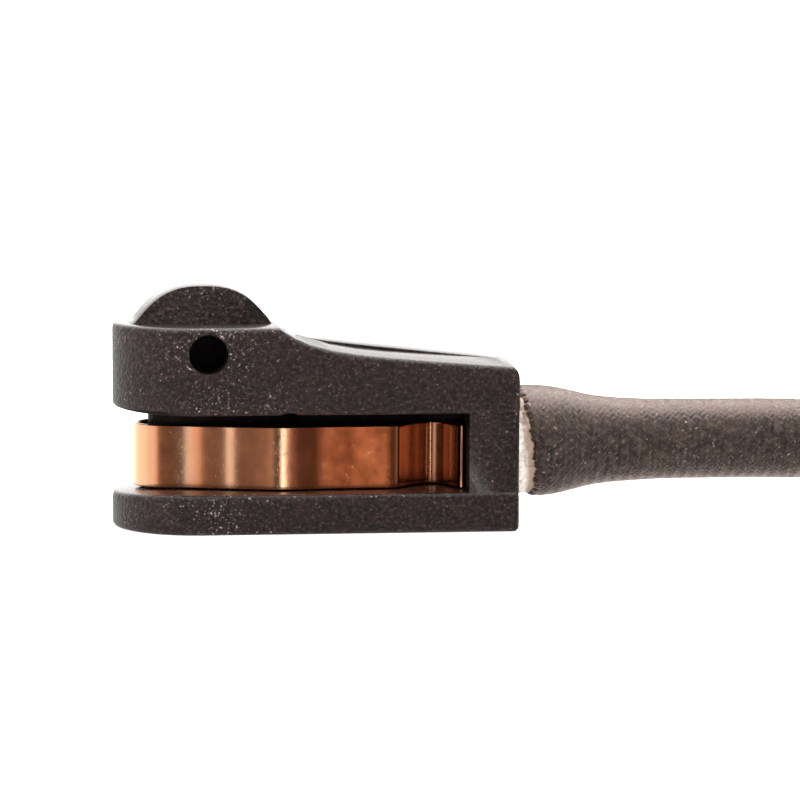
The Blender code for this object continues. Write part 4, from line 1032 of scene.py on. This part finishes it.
def face_outward(made):
    """Turn the faces of a closed mesh outward."""
    mesh = made.data
    mesh.calc_loop_triangles()
    volume = 0.0
    for triangle in mesh.loop_triangles:
        a, b, c = (mesh.vertices[index].co for index in triangle.vertices)
        volume += a.dot(b.cross(c))
    if volume < 0:
        mesh.flip_normals()


def make_clip(material):
    """The copper strip, its section carried along its middle line."""
    line = clip_line()
    section = clip_section()
    along = np.gradient(line, axis=0)
    along /= np.linalg.norm(along, axis=1, keepdims=True)
    out = np.stack([-along[:, 1], along[:, 0]], axis=-1)
    middle = len(line) // 2
    if out[middle, 0] > 0:
        out = -out
    plan = line[:, None, :] + out[:, None, :] * section[None, :, 0:1]
    heights = np.broadcast_to(section[None, :, 1:2], (*plan.shape[:2], 1))
    points = np.concatenate([plan, heights], axis=-1)
    rows, sides = points.shape[:2]
    faces, _, _ = ring_faces(0, rows, sides)
    caps = [list(range(sides)), [(rows - 1) * sides + step for step in range(sides)][::-1]]
    made = link_mesh("copper_clip", points.reshape(-1, 3).tolist(), faces.tolist() + caps, material)
    face_outward(made)
    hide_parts("retaining_spring")


def mark_edges(mesh):
    """Mark a mesh's outward edges to be eased, and its other corners as sharp."""
    bm = bmesh.new()
    bm.from_mesh(mesh)
    bmesh.ops.remove_doubles(bm, verts=bm.verts, dist=MERGE_WITHIN)
    weight = bm.edges.layers.float.new("bevel_weight_edge")
    for edge in bm.edges:
        angle = math.degrees(edge.calc_face_angle_signed(0.0))
        edge[weight] = 1.0 if angle > EASE_OVER else 0.0
        edge.smooth = angle > EASE_OVER or abs(angle) <= SHARP_OVER
    bm.to_mesh(mesh)
    bm.free()


def add_bevel(made, width, limit_method):
    """Round a piece's edges with normals that keep its flat faces flat."""
    bevel = made.modifiers.new("ease", "BEVEL")
    bevel.width = width
    bevel.segments = EDGE_SEGMENTS
    bevel.limit_method = limit_method
    bevel.harden_normals = True
    return bevel


def make_head(material):
    """The moulded head: a copy of its solid with its outward edges eased."""
    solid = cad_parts["sensor_body"]
    mesh = solid.data.copy()
    mesh.transform(solid.matrix_world)
    mesh.materials.clear()
    mesh.materials.append(material)
    mark_edges(mesh)
    mesh.shade_smooth()
    made = bpy.data.objects.new("moulded_head", mesh)
    bpy.context.scene.collection.objects.link(made)
    add_bevel(made, HEAD_EDGE, "WEIGHT")
    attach(made, "root")
    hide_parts("sensor_body")


def dress(name, material, bevel=0.0):
    """Give a solid its material and, where asked, eased edges."""
    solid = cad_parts[name]
    solid.data.materials.clear()
    solid.data.materials.append(material)
    if bevel:
        weld = solid.modifiers.new("weld", "WELD")
        weld.merge_threshold = MERGE_WITHIN
        edge = add_bevel(solid, bevel, "ANGLE")
        edge.angle_limit = math.radians(EASE_SOLIDS_OVER)
        edge.miter_outer = "MITER_ARC"
        solid.data.shade_smooth()


def dress_solids():
    """Finish the solids that stay: the inner pieces, the plug and the tie."""
    rubber = plain_material("jacket_rubber", (0.020, 0.019, 0.019), 0.55, depth=0.03 * MM)
    tin = plain_material("tinned_metal", (0.66, 0.66, 0.64), 0.24, depth=0.006 * MM, metallic=1.0, vary=0.06)
    insulation = plain_material("core_insulation", (0.34, 0.045, 0.030), 0.42)
    plug = plain_material("plug_plastic", (0.026, 0.027, 0.029), 0.40, scale=4200.0, depth=0.03 * MM)
    lock = plain_material("lock_plastic", (0.60, 0.57, 0.51), 0.38, scale=4200.0)
    seal = plain_material("seal_rubber", (0.42, 0.14, 0.035), 0.48)
    tie = plain_material("tie_plastic", (0.022, 0.022, 0.023), 0.36, depth=0.015 * MM)
    dress("wear_loop", insulation)
    for side in "ab":
        dress("crimp_" + side, tin)
        dress("lead_core_" + side, insulation)
        dress("contact_" + side, tin)
    dress("cable_sheath", rubber)
    dress("plug_boot", rubber, 0.25 * MM)
    dress("plug_housing", plug, 0.3 * MM)
    dress("plug_lock", lock, 0.25 * MM)
    dress("plug_seal", seal, 0.2 * MM)
    dress("bundle_tie", tie, 0.12 * MM)


def make_floor():
    """A plain pale floor, which the part's gloss doesn't mirror."""
    mesh = bpy.data.meshes.new("floor")
    sides = ((-1, -1), (1, -1), (1, 1), (-1, 1))
    corners = [(FLOOR_REACH * x, FLOOR_REACH * y, -FLOOR_DROP) for x, y in sides]
    mesh.from_pydata(corners, [], [(0, 1, 2, 3)])
    floor = bpy.data.objects.new("floor", mesh)
    bpy.context.scene.collection.objects.link(floor)
    made, tree, shader = new_material("floor", 0.9)
    feed(tree, shader, Base_Color=FLOOR_GREY, Specular_IOR_Level=0.0)
    feed(tree, shader, Emission_Color=(1, 1, 1), Emission_Strength=FLOOR_GLOW)
    mesh.materials.append(made)
    floor.visible_glossy = False


def make_world():
    """A bright studio with dark flags in front, which the clip's bends mirror as bands."""
    world = bpy.data.worlds.new("studio")
    bpy.context.scene.world = world
    world.use_nodes = True
    tree = world.node_tree
    tree.nodes.clear()
    x, y, z = axes_of(tree, node(tree, "TexCoord").outputs["Generated"])
    left = math_node(tree, "MULTIPLY", x, -1.0)
    ahead = math_node(tree, "MULTIPLY", y, -1.0)
    share = spread(tree, math_node(tree, "ARCTAN2", left, ahead), -math.pi, math.pi, 0.0, 1.0)
    brightest = max(level for _, level in SURROUND)
    around = ramp(tree, share, [((angle + 180) / 360, level / brightest) for angle, level in SURROUND])
    around = math_node(tree, "MULTIPLY", around, brightest)
    path = node(tree, "LightPath")
    matt = path.outputs["Is Diffuse Ray"]
    around = math_node(tree, "MULTIPLY", around, choose(tree, matt, 1.0, MATT_SURROUND))
    start = choose(tree, matt, OVERHEAD_FROM, MATT_OVERHEAD_FROM)
    high = spread(tree, z, start, OVERHEAD_TO, 0.0, 1.0)
    low = spread(tree, z, UNDERNEATH_FROM, UNDERNEATH_TO, 0.0, 1.0)
    level = choose(tree, high, around, choose(tree, matt, OVERHEAD, MATT_OVERHEAD))
    level = choose(tree, low, level, UNDERNEATH)
    level = choose(tree, path.outputs["Is Camera Ray"], level, 1.0)
    light = node(tree, "Background", {"Color": (1, 1, 1, 1), "Strength": level})
    node(tree, "OutputWorld", {0: light.outputs[0]})


make_camera()
dress_solids()
make_head(head_material())
make_clip(copper_material())
lead = Lead()
make_lead(lead, braid_material())
make_fuzz(lead, fuzz_material())
chance = np.random.default_rng(FIBRE_SEED)
glass_fibre = fibre_material()
make_fibre_layer(chance, glass_fibre)
make_fray(chance, glass_fibre)
make_floor()
make_world()
bpy.context.scene.view_settings.view_transform = "Standard"
